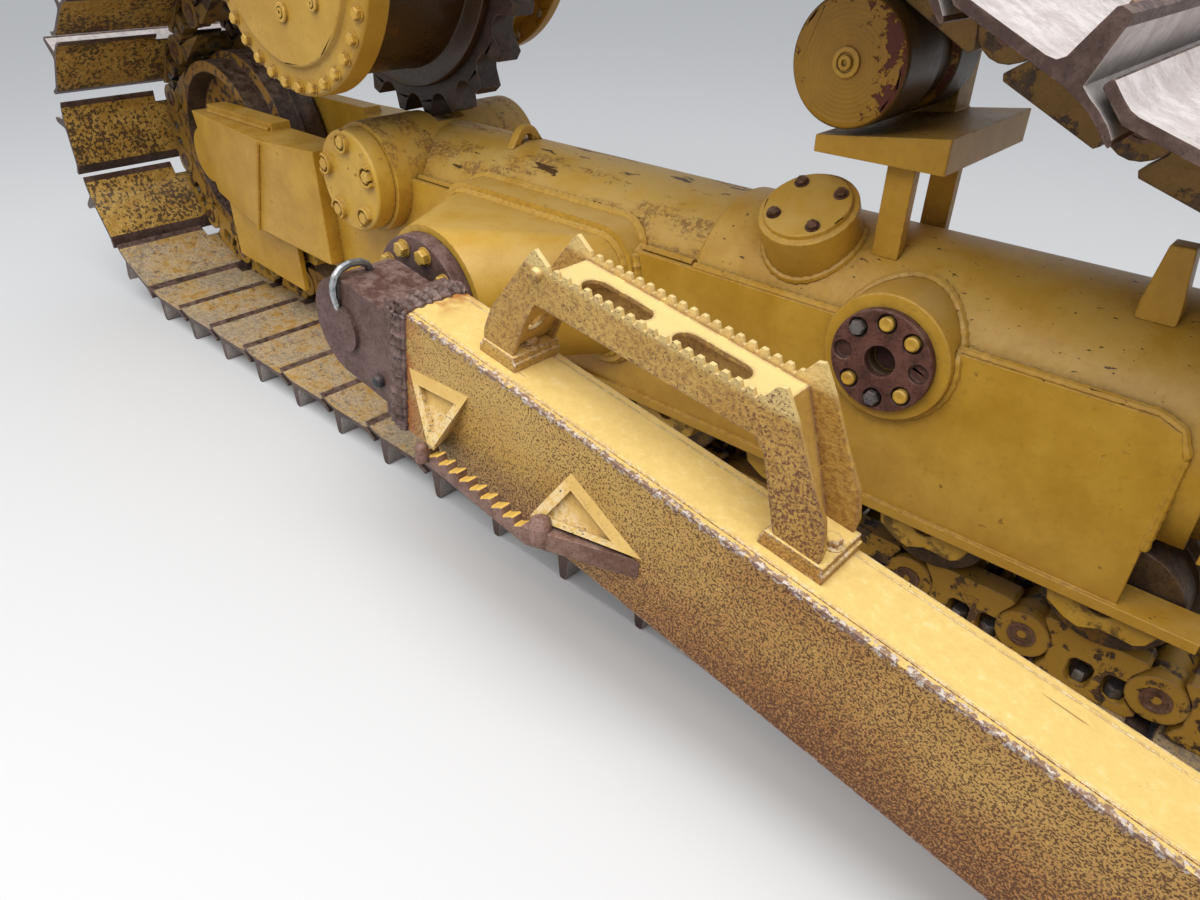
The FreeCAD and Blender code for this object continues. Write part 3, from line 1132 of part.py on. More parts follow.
# Push arm: a hollow welded beam, drawn along itself from the ball's middle. The top and
# bottom plates stand a little proud between the side plates.
beam = keep(new_body("arm_beam"), "arm_beam")
PLATE_SIDE = "Sizes.arm_width / 2 - Sizes.arm_wall"
SIDE_EDGE = "Sizes.arm_height / 2 - Sizes.weld_step"
HOLLOW_TOP = "Sizes.arm_height / 2 - Sizes.arm_wall"
beam_skin = [
    ("-Sizes.arm_width / 2", "-(%s)" % SIDE_EDGE), ("-(%s)" % PLATE_SIDE, "-(%s)" % SIDE_EDGE),
    ("-(%s)" % PLATE_SIDE, "-Sizes.arm_height / 2"), (PLATE_SIDE, "-Sizes.arm_height / 2"),
    (PLATE_SIDE, "-(%s)" % SIDE_EDGE), ("Sizes.arm_width / 2", "-(%s)" % SIDE_EDGE),
    ("Sizes.arm_width / 2", SIDE_EDGE), (PLATE_SIDE, SIDE_EDGE),
    (PLATE_SIDE, "Sizes.arm_height / 2"), ("-(%s)" % PLATE_SIDE, "Sizes.arm_height / 2"),
    ("-(%s)" % PLATE_SIDE, SIDE_EDGE), ("-Sizes.arm_width / 2", SIDE_EDGE)]
pad(beam, outline(beam, "beam_skin", "YZ_Plane", beam_skin, "Sizes.arm_start"),
    "Sizes.arm_end - Sizes.arm_start")
pocket_through(beam, outline(beam, "beam_hollow", "YZ_Plane", [
    ("-(%s)" % PLATE_SIDE, "-(%s)" % HOLLOW_TOP), (PLATE_SIDE, "-(%s)" % HOLLOW_TOP),
    (PLATE_SIDE, HOLLOW_TOP), ("-(%s)" % PLATE_SIDE, HOLLOW_TOP)]))
put_on_arm(beam)


# Socket casting: square where the beam is welded on, round over the ball, split across.
def socket_blank():
    round_part = bar("Sizes.socket_radius", "Sizes.arm_width", ("0", "Sizes.arm_face", "0"))
    square_part = block(("Sizes.block_start", "Sizes.arm_face", "-Sizes.arm_height / 2"),
                        ("Sizes.arm_start - Sizes.block_start", "Sizes.arm_width", "Sizes.arm_height"))
    shoulder = block(("0", "Sizes.arm_face", "-Sizes.socket_radius"),
                     ("Sizes.block_start", "Sizes.arm_width", "2 * Sizes.socket_radius"))
    return fuse(round_part, square_part, shoulder)


def ball_room():
    sphere = doc.addObject("Part::Sphere", "ball_room")
    bind(sphere, Radius="Sizes.ball_radius + Sizes.socket_gap")
    return [sphere, bar("Sizes.neck_radius + Sizes.stub_room", "Sizes.arm_width", ("0", "0", "0"))]


def half_space(start):
    return block((start, "-Sizes.arm_width", "-Sizes.arm_height"),
                 ("Sizes.blade_pin", "2 * Sizes.arm_width", "2 * Sizes.arm_height"))


# The plug that closes the ball's bore stands out of the casting's outer side.
plug = bar("Sizes.socket_plug", "Sizes.plug_wall", ("0", "Sizes.arm_face - Sizes.plug_wall", "0"))
keep(put_on_arm(cut(fuse(cut(socket_blank(), half_space("Sizes.socket_split - Sizes.blade_pin")), plug),
                    *ball_room())), "ball_socket")
keep(put_on_arm(cut(socket_blank(), half_space("Sizes.socket_split"), *ball_room())), "socket_cap")

# Front eye for the blade's pin, in two ears.
eye_block = fuse(bar("Sizes.blade_eye", "Sizes.arm_width", ("Sizes.blade_pin", "Sizes.arm_face", "0")),
                 block(("Sizes.arm_end", "Sizes.arm_face", "-Sizes.blade_eye"),
                       ("Sizes.blade_eye_reach", "Sizes.arm_width", "2 * Sizes.blade_eye")))
eye_hole = bar("Sizes.blade_bore", "Sizes.arm_width", ("Sizes.blade_pin", "Sizes.arm_face", "0"))
eye_slot = block(("Sizes.blade_pin - Sizes.blade_eye", "-Sizes.blade_eye_gap / 2", "-Sizes.arm_height"),
                 ("3 * Sizes.blade_eye", "Sizes.blade_eye_gap", "2 * Sizes.arm_height"))
keep(put_on_arm(cut(eye_block, eye_hole, eye_slot)), "blade_eye")

# Lug on top of the arm for the blade's brace.
lug_start = ("Sizes.lug_along", "-Sizes.lug_wall / 2", "Sizes.arm_top + Sizes.lug_rise")
lug_foot = block(("Sizes.lug_along - Sizes.lug_foot", "-Sizes.lug_wall / 2", "Sizes.arm_top"),
                 ("2 * Sizes.lug_foot", "Sizes.lug_wall", "0.8 * Sizes.lug_rise"))
keep(put_on_arm(cut(fuse(lug_foot, bar("Sizes.lug_outside", "Sizes.lug_wall", lug_start)),
                    bar("Sizes.lug_bore", "Sizes.lug_wall", lug_start))), "brace_lug")

# Pads under the top step, each a welded block with a smaller plate on it.
REAR_PAD = "Sizes.step_rear - 1.65 * Sizes.step_deep"
FRONT_PAD = "Sizes.step_front + 0.59 * Sizes.step_deep"
pad_layers = []
for start, length in ((REAR_PAD, "Sizes.rear_pad"), (FRONT_PAD, "Sizes.front_pad")):
    pad_layers.append(block((start, "Sizes.pad_outer", "Sizes.arm_top"),
                            (length, "Sizes.pad_inner - Sizes.pad_outer", "Sizes.pad_wall")))
    pad_layers.append(block((start + " + Sizes.pad_inset", "Sizes.pad_outer",
                             "Sizes.arm_top + Sizes.pad_wall"),
                            (length + " - 2 * Sizes.pad_inset", "Sizes.pad_inner - Sizes.pad_outer",
                             "Sizes.step_pad - Sizes.pad_wall")))
keep(put_on_arm(fuse(*pad_layers)), "step_pads")

# Top step: two side plates with horns and saw teeth, and a slotted web folded between
# them. Rows are the end they go with, the share of the plates' depth from there, and the
# share of the step's height over its pads.
STEP_SIDE = [
    ("rear", -1.59, 0), ("rear", -1.59, 0.105), ("rear", -1.39, 0.34), ("rear", -0.29, 1.02),
    ("rear", -0.14, 1.085), ("rear", 0.27, 1), ("front", -0.21, 1), ("front", -0.02, 1.115),
    ("front", 0.14, 1.135), ("front", 0.55, 0.945), ("front", 1.21, 0.58), ("front", 1.68, 0.355),
    ("front", 1.89, 0.13), ("front", 1.89, 0), ("front", 0.82, 0), ("front", 0.42, 0.325),
    ("front", 0.11, 0.58), ("front", -0.17, 0.665), ("rear", 0, 0.615), ("rear", -0.23, 0.405),
    ("rear", -0.55, 0)]
step_side = [("Sizes.step_%s + %s * Sizes.step_deep" % (end, along),
              "Sizes.pad_top + %s * Sizes.step_legs" % up)
             for end, along, up in STEP_SIDE]
WEB_TOP = "Sizes.step_top - Sizes.web_down"
WEB_UNDER = "Sizes.step_top - Sizes.web_down - Sizes.step_plate"
step_web = [
    ("Sizes.step_rear - 0.91 * Sizes.step_deep", "Sizes.pad_top"),
    ("Sizes.step_rear + 0.21 * Sizes.step_deep", WEB_TOP), ("Sizes.step_front", WEB_TOP),
    ("Sizes.step_front + 1.27 * Sizes.step_deep", "Sizes.pad_top"),
    ("Sizes.step_front + 1.14 * Sizes.step_deep", "Sizes.pad_top"),
    ("Sizes.step_front - 0.08 * Sizes.step_deep", WEB_UNDER),
    ("Sizes.step_rear + 0.3 * Sizes.step_deep", WEB_UNDER),
    ("Sizes.step_rear - 0.77 * Sizes.step_deep", "Sizes.pad_top")]
step = keep(new_body("top_step"), "top_step")
for name, low_y in (("outer", "Sizes.step_outer"), ("inner", "Sizes.step_inner - Sizes.step_plate")):
    pad(step, outline(step, "side_" + name, "XZ_Plane", step_side, "-(%s)" % low_y), "Sizes.step_plate",
        backwards=True)
pad(step, outline(step, "web", "XZ_Plane", step_web, "-Sizes.step_outer - Sizes.step_plate"),
    "Sizes.step_inner - Sizes.step_outer - 2 * Sizes.step_plate", backwards=True)
STEP_MIDDLE = "(Sizes.step_rear + Sizes.step_front) / 2"
for name, spread in (("rear_slot", "-Sizes.slot_spread"), ("front_slot", "Sizes.slot_spread")):
    middle_x = "%s + %s" % (STEP_MIDDLE, spread)
    ends = [("%s - Sizes.slot_half" % middle_x, "Sizes.slot_side", "Sizes.slot_radius"),
            ("%s + Sizes.slot_half" % middle_x, "Sizes.slot_side", "Sizes.slot_radius")]
    for part, sketch in (
            ("ends", circles(step, name + "_ends", "XY_Plane", ends, "Sizes.step_top")),
            ("middle", outline(step, name + "_middle", "XY_Plane", [
                (ends[0][0], "Sizes.slot_side - Sizes.slot_radius"),
                (ends[1][0], "Sizes.slot_side - Sizes.slot_radius"),
                (ends[1][0], "Sizes.slot_side + Sizes.slot_radius"),
                (ends[0][0], "Sizes.slot_side + Sizes.slot_radius")], "Sizes.step_top"))):
        pocket(step, sketch, "Sizes.web_down + 2 * Sizes.step_plate")
pocket_through(step, circles(step, "leg_holes", "YZ_Plane", [
    ("Sizes.slot_side", "Sizes.pad_top + %s * Sizes.step_legs" % up, "Sizes.leg_hole")
    for up in (0.3, 0.62)]))
NOTCH_START = STEP_MIDDLE + " - Sizes.tooth_pitch * (Sizes.tooth_count - 1) / 2"
notch = pocket_through(step, outline(step, "notch", "XZ_Plane", [
    (NOTCH_START + " - 0.3 * Sizes.tooth_pitch", "Sizes.step_top + Sizes.tooth_depth"),
    (NOTCH_START + " - 0.3 * Sizes.tooth_pitch", "Sizes.step_top"),
    (NOTCH_START + " - 0.08 * Sizes.tooth_pitch", "Sizes.step_top - Sizes.tooth_depth"),
    (NOTCH_START + " + 0.08 * Sizes.tooth_pitch", "Sizes.step_top - Sizes.tooth_depth"),
    (NOTCH_START + " + 0.3 * Sizes.tooth_pitch", "Sizes.step_top"),
    (NOTCH_START + " + 0.3 * Sizes.tooth_pitch", "Sizes.step_top + Sizes.tooth_depth")]))
row_of(step, "notches", [notch], "Sizes.tooth_pitch", "Sizes.tooth_count")
put_on_arm(step)


# Side step: a bent bar with saw teeth, held off the arm's face by two pocketed brackets.
def put_on_low_step(piece):
    return put(piece, "Sizes.trunnion_x", "-Sizes.ball_out", "Sizes.trunnion_z",
               V(0, 1, 0), "Sizes.low_step_slope")


REACH = "-Sizes.low_step_reach"
REAR_REACH = "-Sizes.low_step_reach + Sizes.low_step_splay"
low_step = keep(new_body("side_step"), "side_step")
low_bar = outline(low_step, "bent_bar", "XY_Plane", [
    ("Sizes.low_step_rear - 0.51 * Sizes.low_step_reach", "Sizes.arm_face"),
    ("Sizes.low_step_rear", REAR_REACH), ("Sizes.low_step_front", REACH),
    ("Sizes.low_step_front + 1.28 * Sizes.low_step_reach", "Sizes.arm_face"),
    ("Sizes.low_step_front + 0.95 * Sizes.low_step_reach", "Sizes.arm_face"),
    ("Sizes.low_step_front - 0.36 * Sizes.low_step_bar", REACH + " + Sizes.low_step_bar"),
    ("Sizes.low_step_rear + 0.23 * Sizes.low_step_bar", REAR_REACH + " + Sizes.low_step_bar"),
    ("Sizes.low_step_rear - 0.31 * Sizes.low_step_reach", "Sizes.arm_face")],
    "-Sizes.low_step_drop - Sizes.low_step_depth")
pad(low_step, low_bar, "Sizes.low_step_depth")
SAW_START = "Sizes.low_step_rear"
saw = pocket_through(low_step, outline(low_step, "saw", "XZ_Plane", [
    (SAW_START, "-Sizes.low_step_drop + Sizes.low_tooth_depth"), (SAW_START, "-Sizes.low_step_drop"),
    (SAW_START + " + 0.12 * Sizes.low_tooth_pitch", "-Sizes.low_step_drop - Sizes.low_tooth_depth"),
    (SAW_START + " + 0.85 * Sizes.low_tooth_pitch", "-Sizes.low_step_drop"),
    (SAW_START + " + 0.85 * Sizes.low_tooth_pitch", "-Sizes.low_step_drop + Sizes.low_tooth_depth")]))
row_of(low_step, "saw_teeth", [saw], "Sizes.low_tooth_pitch", "Sizes.low_tooth_count")
put_on_low_step(low_step)

# Corners as shares of the side step's reach, along the arm and up from the bar's top:
# first on the arm's face and then at the bar.
BRACKETS = [
    ([(1.43, 0.69), (2.61, 0.79), (2.19, 0.015), (1.82, 0.015)],
     [(2.19, 0.06), (2.32, 0.07), (2.32, 0.015), (2.20, 0.015)]),
    ([(4.36, 0.61), (5.44, 0.04), (5.11, 0.015), (4.09, 0.015)],
     [(4.09, 0.06), (4.20, 0.04), (4.20, 0.015), (4.06, 0.015)]),
]
SHRUNK = 0.6
reach = size("Sizes.low_step_reach")
drop = size("Sizes.low_step_drop")
face_y = size("Sizes.arm_face")
bar_y = size(REACH + " + Sizes.low_step_bar + 2 * Sizes.socket_gap")
recess = size("Sizes.recess_depth")


def bracket(face_corners, bar_corners):
    """A boxed bracket, broad on the arm's face, with a recess in its sloping top."""
    loops = [[V(along * reach, y, up * reach - drop) for along, up in rows]
             for rows, y in ((face_corners, face_y), (bar_corners, bar_y))]
    solid = Part.makeLoft([Part.makePolygon(loop + loop[:1]) for loop in loops], True, True)
    top = [loops[0][0], loops[0][1], loops[1][1], loops[1][0]]
    middle = sum(top, V(0, 0, 0)) * 0.25
    outwards = (top[1] - top[0]).cross(top[3] - top[0]).normalize()
    if outwards.z < 0:
        outwards = -outwards
    mouth = [middle + (point - middle) * SHRUNK for point in top]
    mouth = [point + outwards * (recess - (point - middle).dot(outwards)) for point in mouth]
    hollow = Part.Face(Part.makePolygon(mouth + mouth[:1])).extrude(outwards * -2 * recess)
    return solid.cut(hollow)


brackets = own_shape("side_step_brackets", Part.makeCompound([bracket(*rows) for rows in BRACKETS]))
put_on_low_step(keep(brackets, "side_step_brackets"))

doc.recompute()
bad = [item.Name for item in doc.Objects if {"Invalid", "Error"} & set(item.State)]
if bad:
    raise RuntimeError("these objects failed: " + ", ".join(bad))
for piece in subparts:
    if piece.Shape.isNull() or not piece.Shape.isValid():
        raise RuntimeError(piece.Label + " has no sound shape")
os.makedirs("parts", exist_ok=True)
for piece in subparts:
    piece.Shape.exportStep("parts/%s.step" % piece.Label)
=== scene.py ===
import random
from math import asin, atan2, cos, hypot, pi, radians, sin, sqrt

import bmesh
import bpy
from mathutils import Matrix, Vector


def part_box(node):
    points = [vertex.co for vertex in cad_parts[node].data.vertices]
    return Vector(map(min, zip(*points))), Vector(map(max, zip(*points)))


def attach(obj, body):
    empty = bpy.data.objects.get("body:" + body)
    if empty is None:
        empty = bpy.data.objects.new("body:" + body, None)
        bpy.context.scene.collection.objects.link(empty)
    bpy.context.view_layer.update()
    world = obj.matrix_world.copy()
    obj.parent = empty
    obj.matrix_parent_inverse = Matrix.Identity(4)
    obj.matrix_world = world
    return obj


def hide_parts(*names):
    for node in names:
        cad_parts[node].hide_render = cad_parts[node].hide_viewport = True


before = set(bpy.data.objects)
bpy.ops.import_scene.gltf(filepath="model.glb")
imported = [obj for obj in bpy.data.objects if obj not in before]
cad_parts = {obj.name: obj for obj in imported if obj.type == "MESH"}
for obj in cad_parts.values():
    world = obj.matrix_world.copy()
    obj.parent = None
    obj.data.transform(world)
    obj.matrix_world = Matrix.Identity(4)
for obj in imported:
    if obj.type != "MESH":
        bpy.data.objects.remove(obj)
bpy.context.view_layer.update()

# The eye: a walk-round look down on the arm, its steps and the frame behind them,
# through a moderately wide lens.
scene = bpy.context.scene
camera_data = bpy.data.cameras.new("camera")
camera_data.lens = 25.18
camera_data.sensor_width = 36.0
camera_data.clip_start = 0.02
camera_data.clip_end = 200.0
camera = bpy.data.objects.new("camera", camera_data)
scene.collection.objects.link(camera)
look_right = Vector((0.7331, 0.6802, 0.0077))
look_down = Vector((0.3764, -0.3961, -0.8376))
look_ahead = Vector((-0.5666, 0.6168, -0.5464))
turn = Matrix((look_right, -look_down, -look_ahead)).transposed().to_4x4()
camera.matrix_world = Matrix.Translation((1.895, -1.415, 0.588)) @ turn
scene.camera = camera

# Studio: a plain pale floor under the grousers, with the broad soft light of an
# overcast yard.
GROUND = -0.642


class Value:
    """A number or colour that changes over a surface; sums on it become Math nodes."""

    def __init__(self, finish, socket):
        self.finish = finish
        self.socket = socket

    def math(self, operation, *others, clamp=False):
        sockets = {index: other for index, other in enumerate((self,) + others)}
        return self.finish.node("ShaderNodeMath", {"operation": operation, "use_clamp": clamp}, sockets)

    def __add__(self, other):
        return self.math("ADD", other)

    __radd__ = __add__

    def __mul__(self, other):
        return self.math("MULTIPLY", other)

    __rmul__ = __mul__

    def __sub__(self, other):
        return self.math("SUBTRACT", other)

    def __rsub__(self, other):
        return self.finish.node("ShaderNodeMath", {"operation": "SUBTRACT"}, {0: other, 1: self})

    def clipped(self):
        return self.math("ADD", 0.0, clamp=True)

    def hypot(self, other):
        return (self * self + other * other).math("POWER", 0.5)

    def ramp(self, low, high):
        """0 below low, 1 above high, smooth between."""
        return self.finish.node("ShaderNodeMapRange", {"interpolation_type": "SMOOTHSTEP"},
                                {"Value": self, "From Min": low, "From Max": high})


# The parts of a place or a direction, in the order of their sockets.
X, Y, Z = 0, 1, 2


class Finish:
    """A material's nodes, with one method that adds any of them."""

    def __init__(self, name):
        self.material = bpy.data.materials.new(name)
        self.material.use_nodes = True
        self.tree = self.material.node_tree
        self.tree.nodes.clear()
        self.end = self.tree.nodes.new("ShaderNodeOutputMaterial")
        self.where = self.node("ShaderNodeTexCoord", output="Object")
        self.facing = self.node("ShaderNodeNewGeometry", output="Normal")

    def node(self, kind, settings=None, sockets=None, output=0):
        made = self.tree.nodes.new(kind)
        for key, value in (settings or {}).items():
            setattr(made, key, value)
        for key, value in (sockets or {}).items():
            if isinstance(value, Value):
                self.tree.links.new(value.socket, made.inputs[key])
            else:
                made.inputs[key].default_value = value
        return Value(self, made.outputs[output])

    def mix(self, factor, first, second):
        """Colour between two colours, each a tuple as it is seen or a Value."""
        pair = (first, second)
        first, second = ((*linear(c), 1.0) if isinstance(c, tuple) else c for c in pair)
        # A colour mix reads its inputs 6 and 7 and gives its output 2.
        return self.node("ShaderNodeMix", {"data_type": "RGBA"}, {0: factor, 6: first, 7: second}, 2)

    def lay(self, factor, colour):
        """Lays a colour over what is there."""
        self.colour = self.mix(factor, self.colour, colour)

    def noise(self, scale, detail=4.0, roughness=0.55, place=None):
        sockets = {"Vector": place or self.where, "Scale": scale, "Detail": detail, "Roughness": roughness}
        return self.node("ShaderNodeTexNoise", None, sockets)

    def part(self, vector, axis):
        return self.node("ShaderNodeSeparateXYZ", None, {0: vector}, axis)

    def upward(self, low, high):
        """1 where the surface looks up, 0 where it stands or hangs."""
        return self.part(self.facing, Z).ramp(low, high)

    def outward(self, low, high):
        """1 where the surface looks away from the tractor."""
        return (self.part(self.facing, Y) * -1).ramp(low, high)

    def from_axis(self, x, z):
        """How far forward and how far up a point is from an axis across the machine."""
        return self.part(self.where, X) - x, self.part(self.where, Z) - z

    def stretched(self, x, y, z):
        """The place on the piece, squeezed along each axis, for streaks."""
        return self.node("ShaderNodeMapping", None, {"Vector": self.where, "Scale": (x, y, z)})

    def edges(self, radius):
        """1 on a sharp outer edge, 0 on the flat."""
        rounded = self.node("ShaderNodeBevel", {"samples": 2}, {"Radius": radius})
        directions = {0: rounded, 1: self.facing}
        same = self.node("ShaderNodeVectorMath", {"operation": "DOT_PRODUCT"}, directions, "Value")
        return (1 - same).ramp(0.01, 0.12)

    def hollow(self, distance):
        """1 deep in a corner, 0 in the open."""
        open_sky = self.node("ShaderNodeAmbientOcclusion", {"samples": 3}, {"Distance": distance}, "AO")
        return (1 - open_sky).ramp(0.12, 0.75)

    def surface(self, shader):
        self.tree.links.new(shader.socket, self.end.inputs["Surface"])
        return self.material

    def steel(self, rough, height, depth, metal=0.0):
        bump = self.node("ShaderNodeBump", None, {"Strength": 1.0, "Distance": depth, "Height": height})
        sockets = {"Base Color": self.colour, "Roughness": rough, "Normal": bump, "Metallic": metal}
        return self.surface(self.node("ShaderNodeBsdfPrincipled", None, sockets))


def linear(colour):
    """A colour as it is seen, 0 to 255, made linear for the shader."""
    seen = (channel / 255.0 for channel in colour)
    return tuple(c / 12.92 if c <= 0.04045 else ((c + 0.055) / 1.055) ** 2.4 for c in seen)


FLOOR_REACH = 30.0
floor_corners = [(x * FLOOR_REACH, y * FLOOR_REACH, GROUND) for x, y in ((-1, -1), (1, -1), (1, 1), (-1, 1))]
floor_data = bpy.data.meshes.new("floor")
floor_data.from_pydata(floor_corners, [], [(0, 1, 2, 3)])
floor = bpy.data.objects.new("floor", floor_data)
scene.collection.objects.link(floor)
# The floor throws less light back on the steel than it shows.
finish = Finish("floor_finish")
rays = ("Is Camera Ray", "Is Glossy Ray", "Is Transmission Ray")
seen, glossy, through = (finish.node("ShaderNodeLightPath", output=ray) for ray in rays)
pale = (seen + glossy + through).clipped()
shade = finish.mix(pale, (150, 147, 142), (226, 226, 226))
floor_data.materials.append(finish.surface(finish.node("ShaderNodeBsdfDiffuse", None, {"Color": shade})))

world = bpy.data.worlds.new("sky")
world.use_nodes = True
sky = world.node_tree.nodes["Background"].inputs
sky["Color"].default_value = (0.93, 0.96, 1.0, 1.0)
sky["Strength"].default_value = 0.62
scene.world = world
lamp_data = bpy.data.lights.new("overhead", "AREA")
lamp_data.shape = "RECTANGLE"
lamp_data.size = 5.0
lamp_data.size_y = 4.0
lamp_data.energy = 210.0
lamp = bpy.data.objects.new("overhead", lamp_data)
lamp.location = (1.6, -2.0, 3.6)
lamp.rotation_mode = "QUATERNION"
lamp.rotation_quaternion = (lamp.location - Vector((0.6, -0.2, -0.2))).to_track_quat("Z", "Y")
scene.collection.objects.link(lamp)
scene.view_settings.view_transform = "Standard"

# Roller frame: two side plates, rails and a front tube, welded and shot with mustard
# enamel. Dust with a painted sheen of the sky lies on what faces up, with small nicks in it,
# painted shade darkens the corners and the edges are knocked bare.
# Dust with a painted sheen of the sky: the pale tone laid on faces that look up.
DUST_AND_SHEEN = (200, 172, 118)
# Painted shade: the dark tone laid into corners that the occlusion mask finds.
CORNER_SHADE_TONE = (58, 42, 26)
RUST = (92, 50, 26)
STAIN = (152, 106, 30)
WORN_EDGE = (132, 98, 62)


def enamel(finish, low, high, top_dust_and_sheen=0.3, corner_shade=0.7, chips=0.5, worn=0.6):
    """Lays sprayed enamel and gives its roughness and height."""
    broad = finish.noise(2.1, 3.0)
    cloud = finish.noise(13.0, 5.0, 0.62)
    fine = finish.noise(95.0, 3.0, 0.6)
    finish.colour = finish.mix((broad * 0.45 + cloud * 0.55).ramp(0.32, 0.72), low, high)
    finish.lay(fine.ramp(0.55, 0.76) * 0.22, STAIN)
    # Faces that look up are paled, partly by dust and partly by a painted sheen of the sky.
    dust_and_sheen = finish.upward(0.1, 0.95) * (cloud.ramp(0.34, 0.64) * 0.7 + 0.3) * top_dust_and_sheen
    finish.lay(dust_and_sheen, DUST_AND_SHEEN)
    # Painted shade: corners found by ambient occlusion are darkened, broken by fine noise.
    corner = finish.hollow(0.07) * (fine.ramp(0.3, 0.65) * 0.5 + 0.5) * corner_shade
    finish.lay(corner, CORNER_SHADE_TONE)
    flake = finish.noise(48.0, 4.0, 0.66).ramp(0.665, 0.69) * cloud.ramp(0.48, 0.58) * chips
    knocked = finish.edges(0.005) * (fine * 0.6 + cloud * 0.4).ramp(0.47, 0.56) * worn
    finish.lay(flake, RUST)
    finish.lay(knocked, WORN_EDGE)
    gone = flake.math("MAXIMUM", knocked)
    rough = 0.40 + dust_and_sheen * 0.3 + corner * 0.3 + gone * 0.3 + (fine - 0.5) * 0.2
    return rough, fine * 0.35 + cloud * 0.5 - flake * 0.8


def round_edges(node, width, degrees):
    """Takes down the edges that are sharper than an angle."""
    edge = node.modifiers.new("rounding", "BEVEL")
    edge.width = width
    edge.segments = 2
    edge.limit_method = "ANGLE"
    edge.angle_limit = radians(degrees)
    return edge


def dress(material, *names, rounding=0.0):
    """Puts a finish on CAD nodes and takes their edges down a little."""
    for name in names:
        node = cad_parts[name]
        node.data.materials.clear()
        node.data.materials.append(material)
        if rounding:
            node.modifiers.new("joined", "WELD").merge_threshold = 0.00002
            round_edges(node, rounding, 35).use_clamp_overlap = False
            node.modifiers.new("even_shine", "WEIGHTED_NORMAL").weight = 80


FRAME_LOW = (188, 139, 34)
FRAME_HIGH = (216, 169, 60)
finish = Finish("frame_enamel")
rough, height = enamel(finish, FRAME_LOW, FRAME_HIGH)
nicks = finish.noise(120.0, 3.0, 0.6, finish.stretched(0.45, 1.0, 1.0)).ramp(0.67, 0.69)
nicks = nicks * finish.upward(0.25, 0.55)
finish.lay(nicks * 0.9, (62, 38, 22))
frame_enamel = finish.steel(rough, height - nicks, 0.0012)
dress(frame_enamel, "roller_frame", "front_yoke", "idler_bearings", rounding=0.002)
dress(frame_enamel, "front_bracket", "carrier_bracket", "lifting_eye", rounding=0.003)


